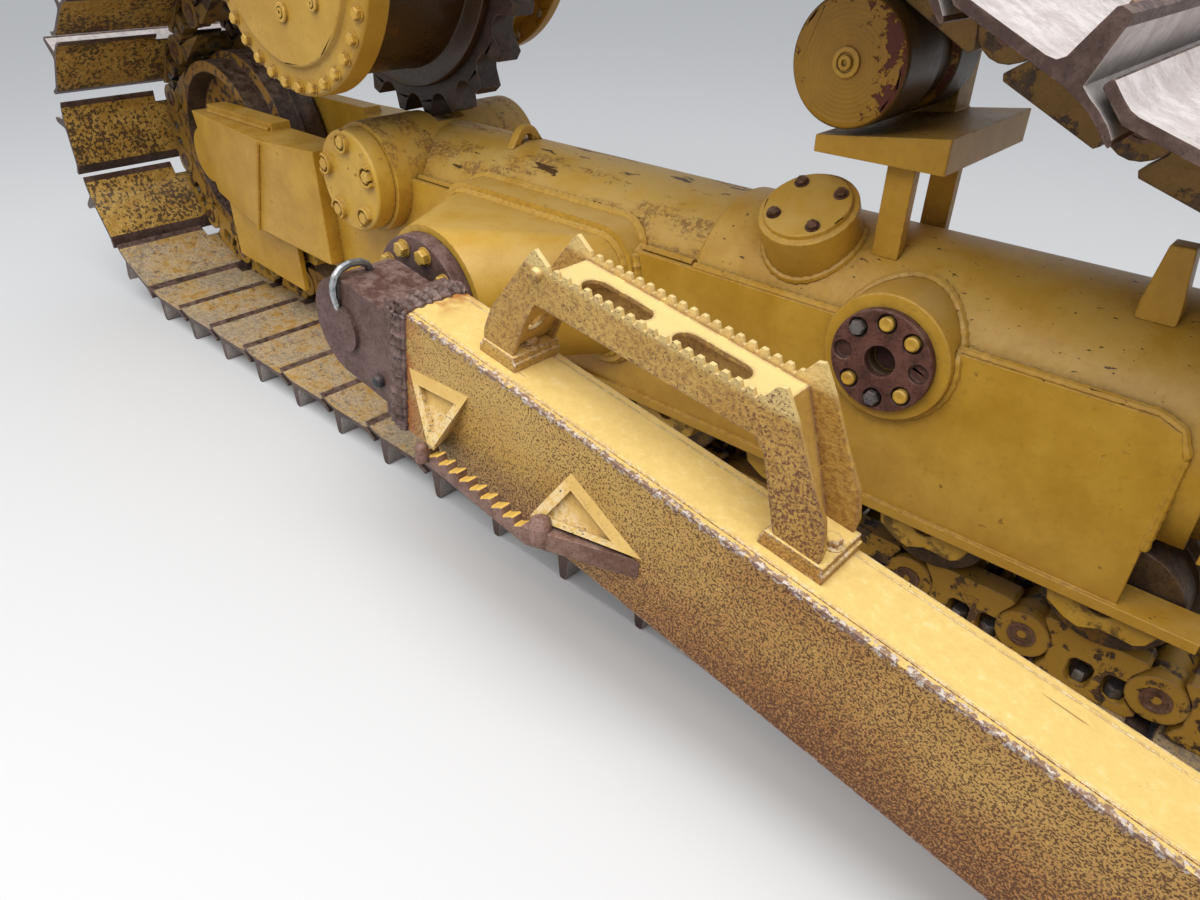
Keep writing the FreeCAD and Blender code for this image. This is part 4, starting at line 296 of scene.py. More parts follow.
class Maker:
    """Collects the faces of one piece, then hands it over as an object."""

    def __init__(self, seed):
        self.mesh = bmesh.new()
        self.draw = random.Random(seed)

    def slab(self, outline, low, high, place, holes=()):
        """A plate: an outline in local X and Z with holes, thick along local Y."""
        before = len(self.mesh.verts)
        edges = []
        for loop in (outline, *holes):
            ring = [self.mesh.verts.new(place @ Vector((x, low, z))) for x, z in loop]
            edges += [self.mesh.edges.new((ring[k - 1], ring[k])) for k in range(len(ring))]
        if holes:
            made = bmesh.ops.triangle_fill(self.mesh, use_beauty=True, edges=edges)["geom"]
            faces = [item for item in made if isinstance(item, bmesh.types.BMFace)]
        else:
            self.mesh.verts.ensure_lookup_table()
            faces = [self.mesh.faces.new(self.mesh.verts[before:])]
        moved = bmesh.ops.extrude_face_region(self.mesh, geom=faces)["geom"]
        shift = place.to_3x3() @ Vector((0.0, high - low, 0.0))
        raised = [item for item in moved if isinstance(item, bmesh.types.BMVert)]
        bmesh.ops.translate(self.mesh, verts=raised, vec=shift)

    def turned(self, profile, place, steps):
        """A turned piece about local Y: rows of along the axis, then radius."""
        rings = []
        for along, radius in profile:
            if radius == 0:
                rings.append([self.mesh.verts.new(place @ Vector((0.0, along, 0.0)))] * steps)
            else:
                turns = [2 * pi * k / steps for k in range(steps)]
                rings.append([self.mesh.verts.new(place @ Vector((
                    radius * cos(turn), along, radius * sin(turn)))) for turn in turns])
        closed = profile[0][1] > 0 and profile[-1][1] > 0
        pairs = list(zip(rings, rings[1:])) + ([(rings[-1], rings[0])] if closed else [])
        for first, second in pairs:
            for k in range(steps):
                corners = []
                for vert in (first[k - 1], first[k], second[k], second[k - 1]):
                    if vert not in corners:
                        corners.append(vert)
                if len(corners) > 2:
                    self.mesh.faces.new(corners)

    def bolt(self, place, radius, height, washer=0.0):
        """A hexagon head with turned-down corners, standing along local Y."""
        spin = place @ Matrix.Rotation(self.draw.uniform(0.0, 1.0), 4, "Y")
        foot = 0.0
        if washer:
            foot = 0.15 * height
            self.turned([(-0.001, 0.0), (-0.001, washer), (foot, washer), (foot, 0.0)], place, 18)
        self.turned([(foot - 0.001, 0.0), (foot - 0.001, radius), (0.8 * height, radius),
                     (height, 0.84 * radius), (height, 0.0)], spin, 6)

    def loft(self, rings, stains=None):
        """A closed skin through rings of points, capped at both ends."""
        rows = [[self.mesh.verts.new(point) for point in ring] for ring in rings]
        count = len(rows[0])
        for first, second in zip(rows, rows[1:]):
            for k in range(count):
                face = self.mesh.faces.new((first[k - 1], first[k], second[k], second[k - 1]))
                face.material_index = stains[k] if stains else 0
        for row in (rows[0], rows[-1]):
            self.mesh.faces.new(row).material_index = max(stains) if stains else 0

    def bead(self, path, radius, side, closed=False, step=0.006, wave=0.14):
        """A weld run: a half-sunk rope of metal with eight sides and ripples along it."""
        around = 8
        ends = path + path[:1] if closed else path
        spots = []
        for first, second in zip(ends, ends[1:]):
            parts = max(1, round((second - first).length / step))
            spots += [first.lerp(second, k / parts) for k in range(parts)]
        if not closed:
            spots.append(path[-1])
        rows = []
        for k, spot in enumerate(spots):
            after = spots[(k + 1) % len(spots)] if closed or k + 1 < len(spots) else spot
            before = spots[k - 1] if closed or k else spot
            ahead = (after - before).normalized()
            across = (side - ahead * side.dot(ahead)).normalized()
            other = ahead.cross(across)
            size = radius * (1 + wave * cos(2.1 * k) + self.draw.uniform(-wave, wave) / 2)
            rows.append([spot + (across * cos(turn) + other * sin(turn)) * size
                         for turn in (2 * pi * n / around for n in range(around))])
        if closed:
            verts = [[self.mesh.verts.new(point) for point in row] for row in rows]
            for k, row in enumerate(verts):
                for n in range(around):
                    self.mesh.faces.new((verts[k - 1][n - 1], verts[k - 1][n], row[n], row[n - 1]))
        else:
            self.loft(rows)

    def object(self, name, body, materials, replaces=(), bevel=0.0, smooth=True):
        bmesh.ops.remove_doubles(self.mesh, verts=self.mesh.verts, dist=0.00001)
        bmesh.ops.recalc_face_normals(self.mesh, faces=self.mesh.faces)
        data = bpy.data.meshes.new(name)
        self.mesh.to_mesh(data)
        self.mesh.free()
        made = bpy.data.objects.new(name, data)
        scene.collection.objects.link(made)
        for material in materials:
            data.materials.append(material)
        if bevel:
            round_edges(made, bevel, 30)
        if smooth:
            data.shade_smooth()
            data.set_sharp_from_angle(angle=radians(40))
        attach(made, body)
        if replaces:
            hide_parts(*replaces)


ALONG = Vector((1.0, 0.0, 0.0))
ACROSS = Vector((0.0, 1.0, 0.0))
UP = Vector((0.0, 0.0, 1.0))
TUBE_Z = -0.065
FRONT_TUBE = 0.188
REAR_TUBE = 0.178
TUBE_STEP = 0.993
PLATE_FACE = 0.194
PLATE_TOP = 0.015
SEAM_Z = PLATE_TOP + 0.001
GUIDE_X, GUIDE_Z = 1.410, -0.022


def frame_face(x, z):
    """How far out the frame's side is: its plate, and above that the tube."""
    tube = FRONT_TUBE if x > TUBE_STEP else REAR_TUBE
    return PLATE_FACE if z < PLATE_TOP else sqrt(max(0.0001, tube ** 2 - (z - TUBE_Z) ** 2))


def ring_points(x, z, radius, count):
    turns = [2 * pi * k / count for k in range(count)]
    return [(x + radius * cos(turn), z + radius * sin(turn)) for turn in turns]


def rounded_outline(low_x, high_x, low_z, high_z, radius, steps=8):
    points = []
    corners = ((high_x, high_z, 0), (low_x, high_z, 90), (low_x, low_z, 180), (high_x, low_z, 270))
    for x, z, start in corners:
        centre_x = x - radius if x == high_x else x + radius
        centre_z = z - radius if z == high_z else z + radius
        for k in range(steps + 1):
            turn = radians(start + 90 * k / steps)
            points.append((centre_x + radius * cos(turn), centre_z + radius * sin(turn)))
    return points


# Runs along the plates' top edges stop at what stands there; the front one turns the corner.
TOP_RUNS = ((0.14, 0.285), (0.865, 0.99), (1.0, 1.306), (1.514, 1.79))
FRONT_CORNER = ((1.822, 0.185, 0.004), (1.837, 0.188, -0.028), (1.837, 0.189, -0.19))
welds = Maker(11)
for sign in (-1, 1):
    for start, end in TOP_RUNS:
        y = sign * (frame_face(end, SEAM_Z) + 0.012)
        run = [Vector((start, y, SEAM_Z)), Vector((end, y, SEAM_Z))]
        if (start, end) == TOP_RUNS[-1]:
            run += [Vector((x, sign * out, z)) for x, out, z in FRONT_CORNER]
        welds.bead(run, 0.0075, UP, wave=0.1)
tube_joint = ring_points(0.0, TUBE_Z, REAR_TUBE, 48)
welds.bead([Vector((TUBE_STEP, y, z)) for y, z in tube_joint], 0.006, ALONG, closed=True)
guide_root = ring_points(GUIDE_X, GUIDE_Z, 0.109, 48)
welds.bead([Vector((x, -frame_face(x, z) + 0.001, z)) for x, z in guide_root], 0.008, ACROSS, closed=True)
welds.object("frame_welds", "track_frame", [frame_enamel])

# Rear tube of the frame: rolled pipe. Boots and dropped chain have scraped its top brown
# and knocked long dark chips out of the paint.
finish = Finish("tube_enamel")
rough, height = enamel(finish, (192, 144, 40), (219, 174, 68), top_dust_and_sheen=0.5, chips=0.7)
scuff = finish.noise(5.0, 5.0, 0.72, finish.stretched(0.7, 2.2, 2.2)).ramp(0.51, 0.60)
scuff = scuff * finish.noise(110.0, 3.0, 0.7).ramp(0.40, 0.56) * finish.upward(0.0, 0.45)
finish.lay(scuff * 0.75, (126, 86, 44))
nicks = finish.noise(20.0, 4.0, 0.6, finish.stretched(0.35, 1.5, 1.5)).ramp(0.655, 0.675)
nicks = nicks * finish.upward(0.1, 0.5)
finish.lay(nicks * 0.9, (66, 38, 20))
tube_enamel = finish.steel(rough + scuff * 0.2, height - nicks, 0.0012)
dress(tube_enamel, "rear_tube", rounding=0.002)

# Pivot housing and its cap, which carry the pivot shaft at the tractor's side. The cap is
# cast, with five bolts, each sheltered by a horseshoe rim.
dress(tube_enamel, "pivot_housing", rounding=0.002)
finish = Finish("cap_enamel")
rough, height = enamel(finish, (196, 148, 44), (222, 178, 70), top_dust_and_sheen=0.4, chips=0.9)
red_lead = finish.noise(30.0, 4.0, 0.6).ramp(0.62, 0.66) * finish.part(finish.where, Z).ramp(0.04, 0.11)
finish.lay(red_lead * 0.9, (112, 34, 22))
cap_enamel = finish.steel(rough, height - red_lead, 0.0014)
dress(cap_enamel, "pivot_cap", rounding=0.0025)


def seat(point, direction, spin=0.0):
    """A place whose local Y stands out of a face."""
    stand = direction.to_track_quat("Y", "Z").to_matrix().to_4x4()
    return Matrix.Translation(point) @ stand @ Matrix.Rotation(spin, 4, "Y")


def spoke(centre, radius, angle):
    """A point on a circle round an axis across the machine."""
    return centre + Vector((cos(angle), 0.0, sin(angle))) * radius


def bolt_circle(bolts, centre, circle, turns, radius, height, washer=0.0):
    """Bolts in an outboard face, at these turns in degrees about its centre."""
    for turn in turns:
        bolts.bolt(seat(spoke(centre, circle, radians(turn)), -ACROSS), radius, height, washer)


finish = Finish("bolt_enamel")
bolt_coat = enamel(finish, (200, 150, 44), (228, 186, 82), top_dust_and_sheen=0.2, corner_shade=0.9, chips=0.9, worn=0.9)
bolt_enamel = finish.steel(*bolt_coat, 0.0006)
CAP_FACE = Vector((0.0, -0.285, 0.0))
cap_bolts = Maker(5)
bolt_circle(cap_bolts, CAP_FACE, circle=0.096, turns=[90 - 72 * k for k in range(5)],
            radius=0.0165, height=0.014, washer=0.0185)
cap_bolts.object("cap_bolts", "track_frame", [bolt_enamel], smooth=False)

# Rear fork: folded heavy plate that takes the rear idler, with welds down its outer sides
# and along its top.
FORK_SIDE = 0.277
FORK_TOP = 0.024
dress(frame_enamel, "rear_fork", rounding=0.003)
fork_welds = Maker(12)
for sign in (-1, 1):
    side_run = [Vector((x, sign * FORK_SIDE, z)) for x, z in ((-0.568, -0.252), (-0.461, 0.016))]
    top_run = [Vector((x, sign * 0.190, FORK_TOP)) for x in (-0.93, -0.55)]
    fork_welds.bead(side_run, 0.006, ACROSS)
    fork_welds.bead(top_run, 0.007, UP)
fork_welds.object("fork_welds", "track_frame", [frame_enamel])

# Trunnion tower: a pressed hollow horn welded to a saddle plate on the frame. It carries
# the ball that the push arm swings on.
TOWER_FOOT = -0.2105
finish = Finish("tower_enamel")
tower_coat = enamel(finish, (196, 148, 44), (220, 175, 68), top_dust_and_sheen=0.35, corner_shade=0.6, chips=0.5)
tower_enamel = finish.steel(*tower_coat, 0.0012)
dress(tower_enamel, "trunnion_tower")
tower_welds = Maker(13)
horn = rounded_outline(0.300, 0.850, -0.225, 0.034, radius=0.065)
tower_welds.bead([Vector((x, TOWER_FOOT, z)) for x, z in horn], 0.0085, ACROSS, closed=True)
saddle = rounded_outline(0.280, 0.870, -0.245, 0.054, radius=0.085)
saddle = [Vector((x, -frame_face(x, z) - 0.001, z)) for x, z in saddle]
tower_welds.bead(saddle, 0.0095, ACROSS, closed=True)
tower_welds.object("tower_welds", "track_frame", [tower_enamel])

# Trunnion flange and ball: bare forgings gone purple-brown, held by ten painted bolts.
BALL_X, BALL_Y, BALL_Z = 0.560, -0.608, -0.088
FLANGE_FACE = Vector((BALL_X, -0.501, BALL_Z))
finish = Finish("rusty_casting")


def casting(finish, dark, low, high):
    """Lays bare cast iron with a skin of rust and gives its roughness and height."""
    broad = finish.noise(7.0, 4.0)
    cloud = finish.noise(42.0, 6.0, 0.7)
    fine = finish.noise(210.0, 3.0, 0.6)
    finish.colour = finish.mix((broad * 0.5 + cloud * 0.5).ramp(0.40, 0.60), low, high)
    finish.lay(fine.ramp(0.52, 0.68) * 0.6, dark)
    # Faces that look up are paled, partly by dust and partly by a painted sheen of the sky.
    dust_and_sheen = finish.upward(0.2, 1.0) * cloud.ramp(0.4, 0.65) * 0.45
    finish.lay(dust_and_sheen, (150, 126, 114))
    # Painted shade: the iron is darkened in corners that the occlusion mask finds.
    corner = finish.hollow(0.05) * 0.8
    finish.lay(corner, (40, 27, 22))
    # Painted highlight: sharp edges are laid paler, as if catching the light.
    shine = finish.edges(0.005) * cloud.ramp(0.45, 0.6) * 0.5
    finish.lay(shine, (142, 116, 106))
    rough = 0.58 + dust_and_sheen * 0.2 + (fine - 0.5) * 0.5
    return rough, cloud * 0.6 + fine * 0.6


forged = casting(finish, (52, 33, 28), (88, 58, 50), (116, 88, 82))
rusty_casting = finish.steel(*forged, 0.0018)
dress(rusty_casting, "trunnion_flange", rounding=0.003)
dress(rusty_casting, "trunnion_ball")
flange_bolts = Maker(6)
bolt_circle(flange_bolts, FLANGE_FACE, circle=0.108, turns=range(0, 360, 36),
            radius=0.0165, height=0.016, washer=0.019)
flange_bolts.object("flange_bolts", "track_frame", [bolt_enamel], smooth=False)

# Guide disc on its boss: a rusted casting with eight counterbores. Four hold painted pegs,
# two hold grey bolts and two are empty. The bore in the middle of the boss has painted shade
# on its walls, and a plate of the same iron closes it.
GUIDE_CIRCLE = 0.065
POCKET_FLOOR = Vector((GUIDE_X, -0.2215, GUIDE_Z))
BORE_FLOOR = Vector((GUIDE_X, -PLATE_FACE - 0.0005, GUIDE_Z))
finish = Finish("boss_enamel")
rough, height = enamel(finish, FRAME_LOW, FRAME_HIGH)
from_x, from_z = finish.from_axis(GUIDE_X, GUIDE_Z)
# Painted shade: the walls of the boss's bore are darkened as the shade deep in the hole.
bore_shade = 1 - from_x.hypot(from_z).ramp(0.027, 0.030)
finish.lay(bore_shade * 0.9, (44, 26, 20))
dress(finish.steel(rough, height, 0.0012), "guide_boss", rounding=0.004)
finish = Finish("disc_rust")
disc_rust = finish.steel(*casting(finish, (34, 14, 10), (78, 44, 34), (116, 74, 62)), 0.0028)
dress(disc_rust, "guide_disc", rounding=0.002)
peg = [(-0.001, 0.0), (-0.001, 0.012), (0.0125, 0.012), (0.015, 0.0095), (0.015, 0.005), (0.012, 0.0)]
pegs = Maker(7)
for turn in (45, 90, 225, 315):
    pegs.turned(peg, seat(spoke(POCKET_FLOOR, GUIDE_CIRCLE, radians(turn)), -ACROSS), 20)
pegs.object("guide_pegs", "track_frame", [bolt_enamel])
plate = [(0.0, 0.0), (0.0, 0.0245), (0.002, 0.0245), (0.003, 0.012), (0.003, 0.0)]
bore = Maker(29)
bore.turned(plate, seat(BORE_FLOOR, -ACROSS), 28)
bore.object("guide_bore", "track_frame", [disc_rust])


def rusty_steel(name, dark, low, high, metal=0.3):
    finish = Finish(name)
    rough, height = casting(finish, dark, low, high)
    return finish.steel(rough - 0.12, height, 0.0008, metal)


grey_steel = rusty_steel("grey_steel", (54, 48, 46), (104, 100, 98), (150, 148, 146), 0.6)
grey_bolts = Maker(8)
bolt_circle(grey_bolts, POCKET_FLOOR, GUIDE_CIRCLE, turns=(135, 270), radius=0.0135, height=0.018)
grey_bolts.object("guide_bolts", "track_frame", [grey_steel], smooth=False)

# Round cover on its boss, leaning outboard on the front tube, held by four brown bolts.
# The boss is welded on along the saddle-shaped line where it meets the tube.
COVER_X = 1.188
COVER_LEAN = radians(30)
COVER_TOP = 0.262
COVER_CIRCLE = 0.057
BOSS_RADIUS = 0.087
cover_out = Vector((0.0, -sin(COVER_LEAN), cos(COVER_LEAN)))
cover_side = cover_out.cross(ALONG)
cover_root = Vector((COVER_X, 0.0, TUBE_Z))
dress(tower_enamel, "tube_cover", rounding=0.0025)
boss_weld = Maker(14)
boss_path = []
for forward, off in ring_points(0.0, 0.0, BOSS_RADIUS, 48):
    rise = sqrt(FRONT_TUBE ** 2 - off ** 2)
    boss_path.append(cover_root + ALONG * forward + cover_side * off + cover_out * rise)
boss_weld.bead(boss_path, 0.0075, cover_out, closed=True)
boss_weld.object("boss_weld", "track_frame", [frame_enamel])
brown_steel = rusty_steel("brown_steel", (44, 26, 18), (88, 58, 40), (132, 98, 74))
cover_bolts = Maker(9)
for turn in (40, 130, 220, 310):
    flat = ALONG * cos(radians(turn)) + cover_side * sin(radians(turn))
    foot = cover_root + cover_out * COVER_TOP + flat * COVER_CIRCLE
    cover_bolts.bolt(seat(foot, cover_out), radius=0.0105, height=0.009, washer=0.013)
cover_bolts.object("cover_bolts", "track_frame", [brown_steel], smooth=False)

# Carrier roller: turned, with fine rings left on its painted face and paint chipped down
# to red primer along its front edge. Its tread is worn dark.
CARRIER = Vector((1.231, -0.150, 0.389))
RING_RADIANS = 900.0
PRIMER_RED = (96, 40, 24)
WORN_TREAD = (46, 34, 26)
finish = Finish("carrier_enamel")
rough, height = enamel(finish, (164, 118, 22), (194, 146, 40), top_dust_and_sheen=0.1, corner_shade=0.6, chips=0.8)
from_x, from_z = finish.from_axis(CARRIER.x, CARRIER.z)
off_axle = from_x.hypot(from_z)
rings = (off_axle * RING_RADIANS).math("SINE") * 0.5 + 0.5
outboard = finish.outward(0.6, 0.9)
finish.lay(rings * outboard * 0.10, (120, 84, 22))
chipped = finish.noise(44.0, 6.0, 0.7) + off_axle.ramp(0.05, 0.10) * 0.12
chipped = chipped + (from_x + from_z * 0.3).ramp(-0.02, 0.10) * 0.16
chipped = chipped.ramp(0.70, 0.73) * outboard
finish.lay(chipped, PRIMER_RED)
finish.lay((1 - outboard) * 0.85, WORN_TREAD)
height = height + rings * outboard * 0.5 - chipped
carrier_enamel = finish.steel(rough + chipped * 0.2, height, 0.0008)
dress(carrier_enamel, "carrier_roller", rounding=0.003)
profile = [
    (-0.002, 0.0), (-0.002, 0.022), (0.004, 0.022), (0.005, 0.020), (0.005, 0.015), (0.002, 0.014),
    (0.002, 0.011), (0.008, 0.0105), (0.009, 0.009), (0.009, 0.005), (0.005, 0.004), (0.005, 0.0)]
plug = Maker(10)
plug.turned(profile, seat(CARRIER, -ACROSS), 28)
plug.object("carrier_plug", "track_frame", [bolt_enamel])

# Roller collars: cast ends that bolt the track rollers under the rails, greasy and packed
# with dirt. The rollers' treads are worn down to dark iron, and the idlers keep broken
# paint on their outboard faces.
DARK_IRON = (26, 18, 14)
finish = Finish("collar_enamel")
rough, height = enamel(finish, (196, 148, 40), (226, 184, 80), top_dust_and_sheen=0.4, corner_shade=0.9, chips=1.0, worn=0.9)
mud = finish.noise(20.0, 6.0, 0.7).ramp(0.52, 0.62) * 0.75
finish.lay(mud, (74, 52, 32))
dress(finish.steel(rough + mud * 0.3, height, 0.002), "roller_collars", rounding=0.003)
finish = Finish("wheel_iron")
rough, height = casting(finish, DARK_IRON, (62, 46, 34), (104, 80, 52))
painted = finish.noise(9.0, 6.0, 0.65).ramp(0.55, 0.60) * 0.7
finish.lay(painted, (150, 108, 34))
wheel_iron = finish.steel(rough - 0.1, height, 0.0015, metal=0.15)
dress(wheel_iron, "track_rollers", rounding=0.002)
finish = Finish("idler_iron")
rough, height = casting(finish, DARK_IRON, (58, 42, 32), (92, 70, 50))
painted = finish.noise(34.0, 5.0, 0.7).ramp(0.44, 0.50) * (1 - finish.edges(0.008))
painted = painted * finish.outward(0.5, 0.8)
finish.lay(painted * 0.85, (164, 118, 40))
idler_iron = finish.steel(rough - 0.1, height, 0.0015, metal=0.1)
dress(idler_iron, "rear_idler", "front_idler", "idler_axles", rounding=0.002)

# Final drive: a bolted cover over the reduction gears, kept cleaner than the rest by oil,
# with 34 bolts and two filler plugs. Grease has darkened the drum behind it, and painted
# shade darkens its corners.
DRIVE = Vector((-0.039, -0.350, 0.536))
DRIVE_BOLTS = 34
DRUM_FACE = -0.26
GREASE = (38, 24, 16)
finish = Finish("drive_enamel")
drive_coat = enamel(finish, (188, 142, 42), (210, 167, 68), top_dust_and_sheen=0.15, corner_shade=0.8, chips=0.4)
drive_enamel = finish.steel(*drive_coat, 0.001)
dress(drive_enamel, "final_drive_cover", "final_drive_housing", rounding=0.003)
finish = Finish("drum_grease")
rough, height = enamel(finish, (104, 62, 20), (138, 88, 34), top_dust_and_sheen=0.1, corner_shade=0.9, chips=0.4)
inboard = (finish.part(finish.where, Y) - DRUM_FACE).ramp(-0.10, 0.10)
grease = finish.noise(8.0, 5.0, 0.62) + inboard * 0.3
finish.lay(grease.ramp(0.50, 0.66) * 0.85, GREASE)
dress(finish.steel(rough - 0.1, height, 0.001), "final_drive_drum", rounding=0.003)
drive_bolts = Maker(15)
turns = [360 * (k + 0.5) / DRIVE_BOLTS for k in range(DRIVE_BOLTS)]
bolt_circle(drive_bolts, DRIVE, 0.313, turns, radius=0.0135, height=0.012, washer=0.0165)
drive_bolts.object("drive_bolts", "track_frame", [bolt_enamel], smooth=False)
# A filler plug's profile as along its axis, then share of its radius.
filler = [
    (-0.002, 0.0), (-0.002, 1.0), (0.006, 1.0), (0.008, 0.9), (0.008, 0.62), (0.004, 0.6),
    (0.004, 0.5), (0.0095, 0.48), (0.0095, 0.2), (0.005, 0.18), (0.005, 0.0)]
fillers = Maker(16)
for x, z, size in ((0.0, -0.157, 0.021), (0.137, -0.130, 0.017)):
    profile = [(along, share * size) for along, share in filler]
    fillers.turned(profile, seat(DRIVE + Vector((x, -0.012, z)), -ACROSS), 24)
fillers.object("filler_plugs", "track_frame", [bolt_enamel])

# Push arm: a box beam of thick plate, painted pale, with a painted sheen of the sky on its
# top faces. Rain and grit have pricked rust through its sides, more to the front and bottom,
# and its edges are chipped to grey primer.
ARM_SLOPE = radians(9.6)
SEAM_SIDE = 0.0515
SEAM_TOP = 0.1245
PEPPER = (80, 38, 12)
# Painted sheen: the pale tone that stands in for sky light on the arm's top faces.
SKY_SHEEN_ON_TOP = (238, 205, 124)
CHIP = (58, 42, 34)
arm_place = Matrix.Translation((BALL_X, BALL_Y, BALL_Z)) @ Matrix.Rotation(ARM_SLOPE, 4, "Y")
finish = Finish("arm_enamel")


def on_arm(finish):
    """How far along the arm and how high on it a point is."""
    x, z = finish.from_axis(BALL_X, BALL_Z)
    cosine = cos(ARM_SLOPE)
    sine = sin(ARM_SLOPE)
    return x * cosine - z * sine, x * sine + z * cosine


def arm_enamel(finish, speckle=1.0):
    """Lays the arm's pale enamel with its rust speckle and a painted sky sheen on its top faces."""
    low, high = (196, 152, 74), (218, 178, 98)
    rough, height = enamel(finish, low, high, top_dust_and_sheen=0.0, corner_shade=0.5, chips=0.3, worn=0.0)
    along, level = on_arm(finish)
    across = finish.part(finish.where, Y)
    up = finish.upward(0.35, 0.8)
    side = 1 - up
    broad = finish.noise(3.2, 4.0, 0.6)
    grit = finish.noise(62.0, 5.0, 0.7)
    spread = along.ramp(0.1, 1.2) * 0.8 + (level * -1).ramp(-0.06, 0.13) * 0.6
    spread = spread + (broad - 0.5) * 1.6
    finish.lay(spread.ramp(0.1, 1.3) * side * 0.8 * speckle, (170, 104, 40))
    prick = finish.noise(300.0, 2.5, 0.65) + spread * 0.085
    prick = ((prick - 0.575) * 20.0).clipped() * side * speckle
    foot = (level * -1).ramp(0.085, 0.13) * along.ramp(0.3, 1.0) * side * speckle
    finish.lay(foot * 0.35, (128, 72, 40))
    finish.lay(prick * 0.88, PEPPER)
    blister = finish.noise(120.0, 2.0, 0.5).ramp(0.60, 0.68) * side * speckle
    finish.lay(blister * 0.35, (232, 190, 108))
    # Painted sheen: top faces are laid almost wholly pale, with brighter flecks of painted glint.
    finish.lay(up * (grit.ramp(0.35, 0.6) * 0.2 + 0.8), SKY_SHEEN_ON_TOP)
    finish.lay(up * grit.ramp(0.54, 0.70) * 0.3, (250, 232, 182))
    drawn_out = {"X": along * 7.0, "Y": across * 90.0, "Z": level * 90.0}
    streak = finish.node("ShaderNodeCombineXYZ", None, drawn_out)
    scratch = finish.noise(1.0, 3.0, 0.5, streak).ramp(0.72, 0.74) * up
    finish.lay(scratch * 0.7, (140, 96, 58))
    chip = finish.noise(38.0, 4.0, 0.6).ramp(0.725, 0.735)
    finish.lay(chip * 0.9, CHIP)
    rim = finish.edges(0.008)
    out = (across - BALL_Y).ramp(-0.062, -0.046)
    on_edge = level.ramp(0.104, 0.123) * (1 - out)
    near_edge = on_edge.math("MAXIMUM", rim)
    broken = (near_edge * 0.40 + finish.noise(64.0, 5.0, 0.72)).ramp(0.80, 0.86)
    finish.lay(broken * 0.85, (132, 98, 90))
    primer = broken * finish.noise(130.0, 4.0, 0.7).ramp(0.50, 0.57)
    finish.lay(primer * 0.85, (230, 217, 206))
    height = height + grit * (on_edge * 2.0 + 0.4) - prick * 0.8 - chip
    return rough + prick * 0.25 + up * 0.12, height


rough, height = arm_enamel(finish)
along, level = on_arm(finish)
# The paint is scorched where the socket was welded on.
scorch = (1 - along.ramp(0.182, 0.250)) * finish.noise(16.0, 4.0, 0.6).ramp(0.38, 0.55)
finish.lay(scorch * 0.85, (176, 96, 34))
arm_paint = finish.steel(rough, height, 0.0014)
dress(arm_paint, "arm_beam", rounding=0.002)
finish = Finish("arm_fitting_enamel")
fitting_paint = finish.steel(*arm_enamel(finish, speckle=0.6), 0.0014)
dress(fitting_paint, "blade_eye", "brace_lug", rounding=0.003)


def arm_point(along, across, level):
    return arm_place @ Vector((along, across, level))


seams = Maker(17)
for y in (-SEAM_SIDE, SEAM_SIDE):
    run = [arm_point(0.18, y, SEAM_TOP), arm_point(2.12, y, SEAM_TOP)]
    seams.bead(run, 0.0019, ACROSS, step=0.02, wave=0.05)
seams.object("arm_seams", "push_arm", [arm_paint])

# Ball socket: an iron casting split round the ball, welded to the beam with a rough
# strip of heavy runs. A plug closes its bore and a wire ring goes round the joint.
dress(rusty_casting, "ball_socket", "socket_cap")
weld_rust = rusty_steel("weld_rust", (30, 20, 18), (76, 50, 42), (126, 100, 92), metal=0.0)
down_arm = arm_place.to_3x3() @ ALONG
beam_outline = rounded_outline(-0.065, 0.065, -0.1255, 0.1255, radius=0.006)
strip = Maker(18)
for station, size in ((0.150, 0.007), (0.161, 0.009), (0.172, 0.010), (0.182, 0.007)):
    run = [arm_point(station + strip.draw.uniform(-0.002, 0.002), y, v) for y, v in beam_outline]
    strip.bead(run, size, down_arm, closed=True, step=0.007, wave=0.34)
strip.object("socket_weld", "push_arm", [weld_rust])
bright_steel = rusty_steel("bright_steel", (92, 96, 98), (146, 152, 156), (206, 210, 212), metal=0.85)
WIRE_STATION = -0.014
loop = [(-0.064, 0.030), (-0.0715, 0.044), (-0.0765, 0.066), (-0.077, 0.086), (-0.0715, 0.104),
        (-0.059, 0.116), (-0.040, 0.121), (-0.020, 0.119), (-0.004, 0.110), (0.004, 0.096)]
wire = Maker(19)
wire.bead([arm_point(WIRE_STATION, y, v) for y, v in loop], 0.0072, down_arm, step=0.004, wave=0.0)
wire.object("socket_ring", "push_arm", [bright_steel])
black_steel = rusty_steel("black_steel", (16, 15, 16), (34, 32, 34), (66, 64, 66), metal=0.4)
nose = [(0.0, 0.0), (0.0, 0.013), (0.009, 0.013), (0.014, 0.0105), (0.016, 0.006), (0.016, 0.0)]
stub = Maker(20)
stub.turned(nose, arm_place @ seat(Vector((0.108, -0.0655, -0.058)), -ACROSS), 20)
stub.object("socket_stub", "push_arm", [black_steel])

# Step pads: two plates, one on the other, welded on the arm's top. A foot of the step is
# bolted to each.
PAD_TOP = 0.1515
dress(fitting_paint, "step_pads", rounding=0.002)
foot_bolts = Maker(21)
for station in (0.366, 0.404, 0.922, 0.974):
    place = arm_place @ seat(Vector((station, 0.016, PAD_TOP)), UP)
    foot_bolts.bolt(place, radius=0.013, height=0.012, washer=0.018)
foot_bolts.object("foot_bolts", "push_arm", [fitting_paint], smooth=False)

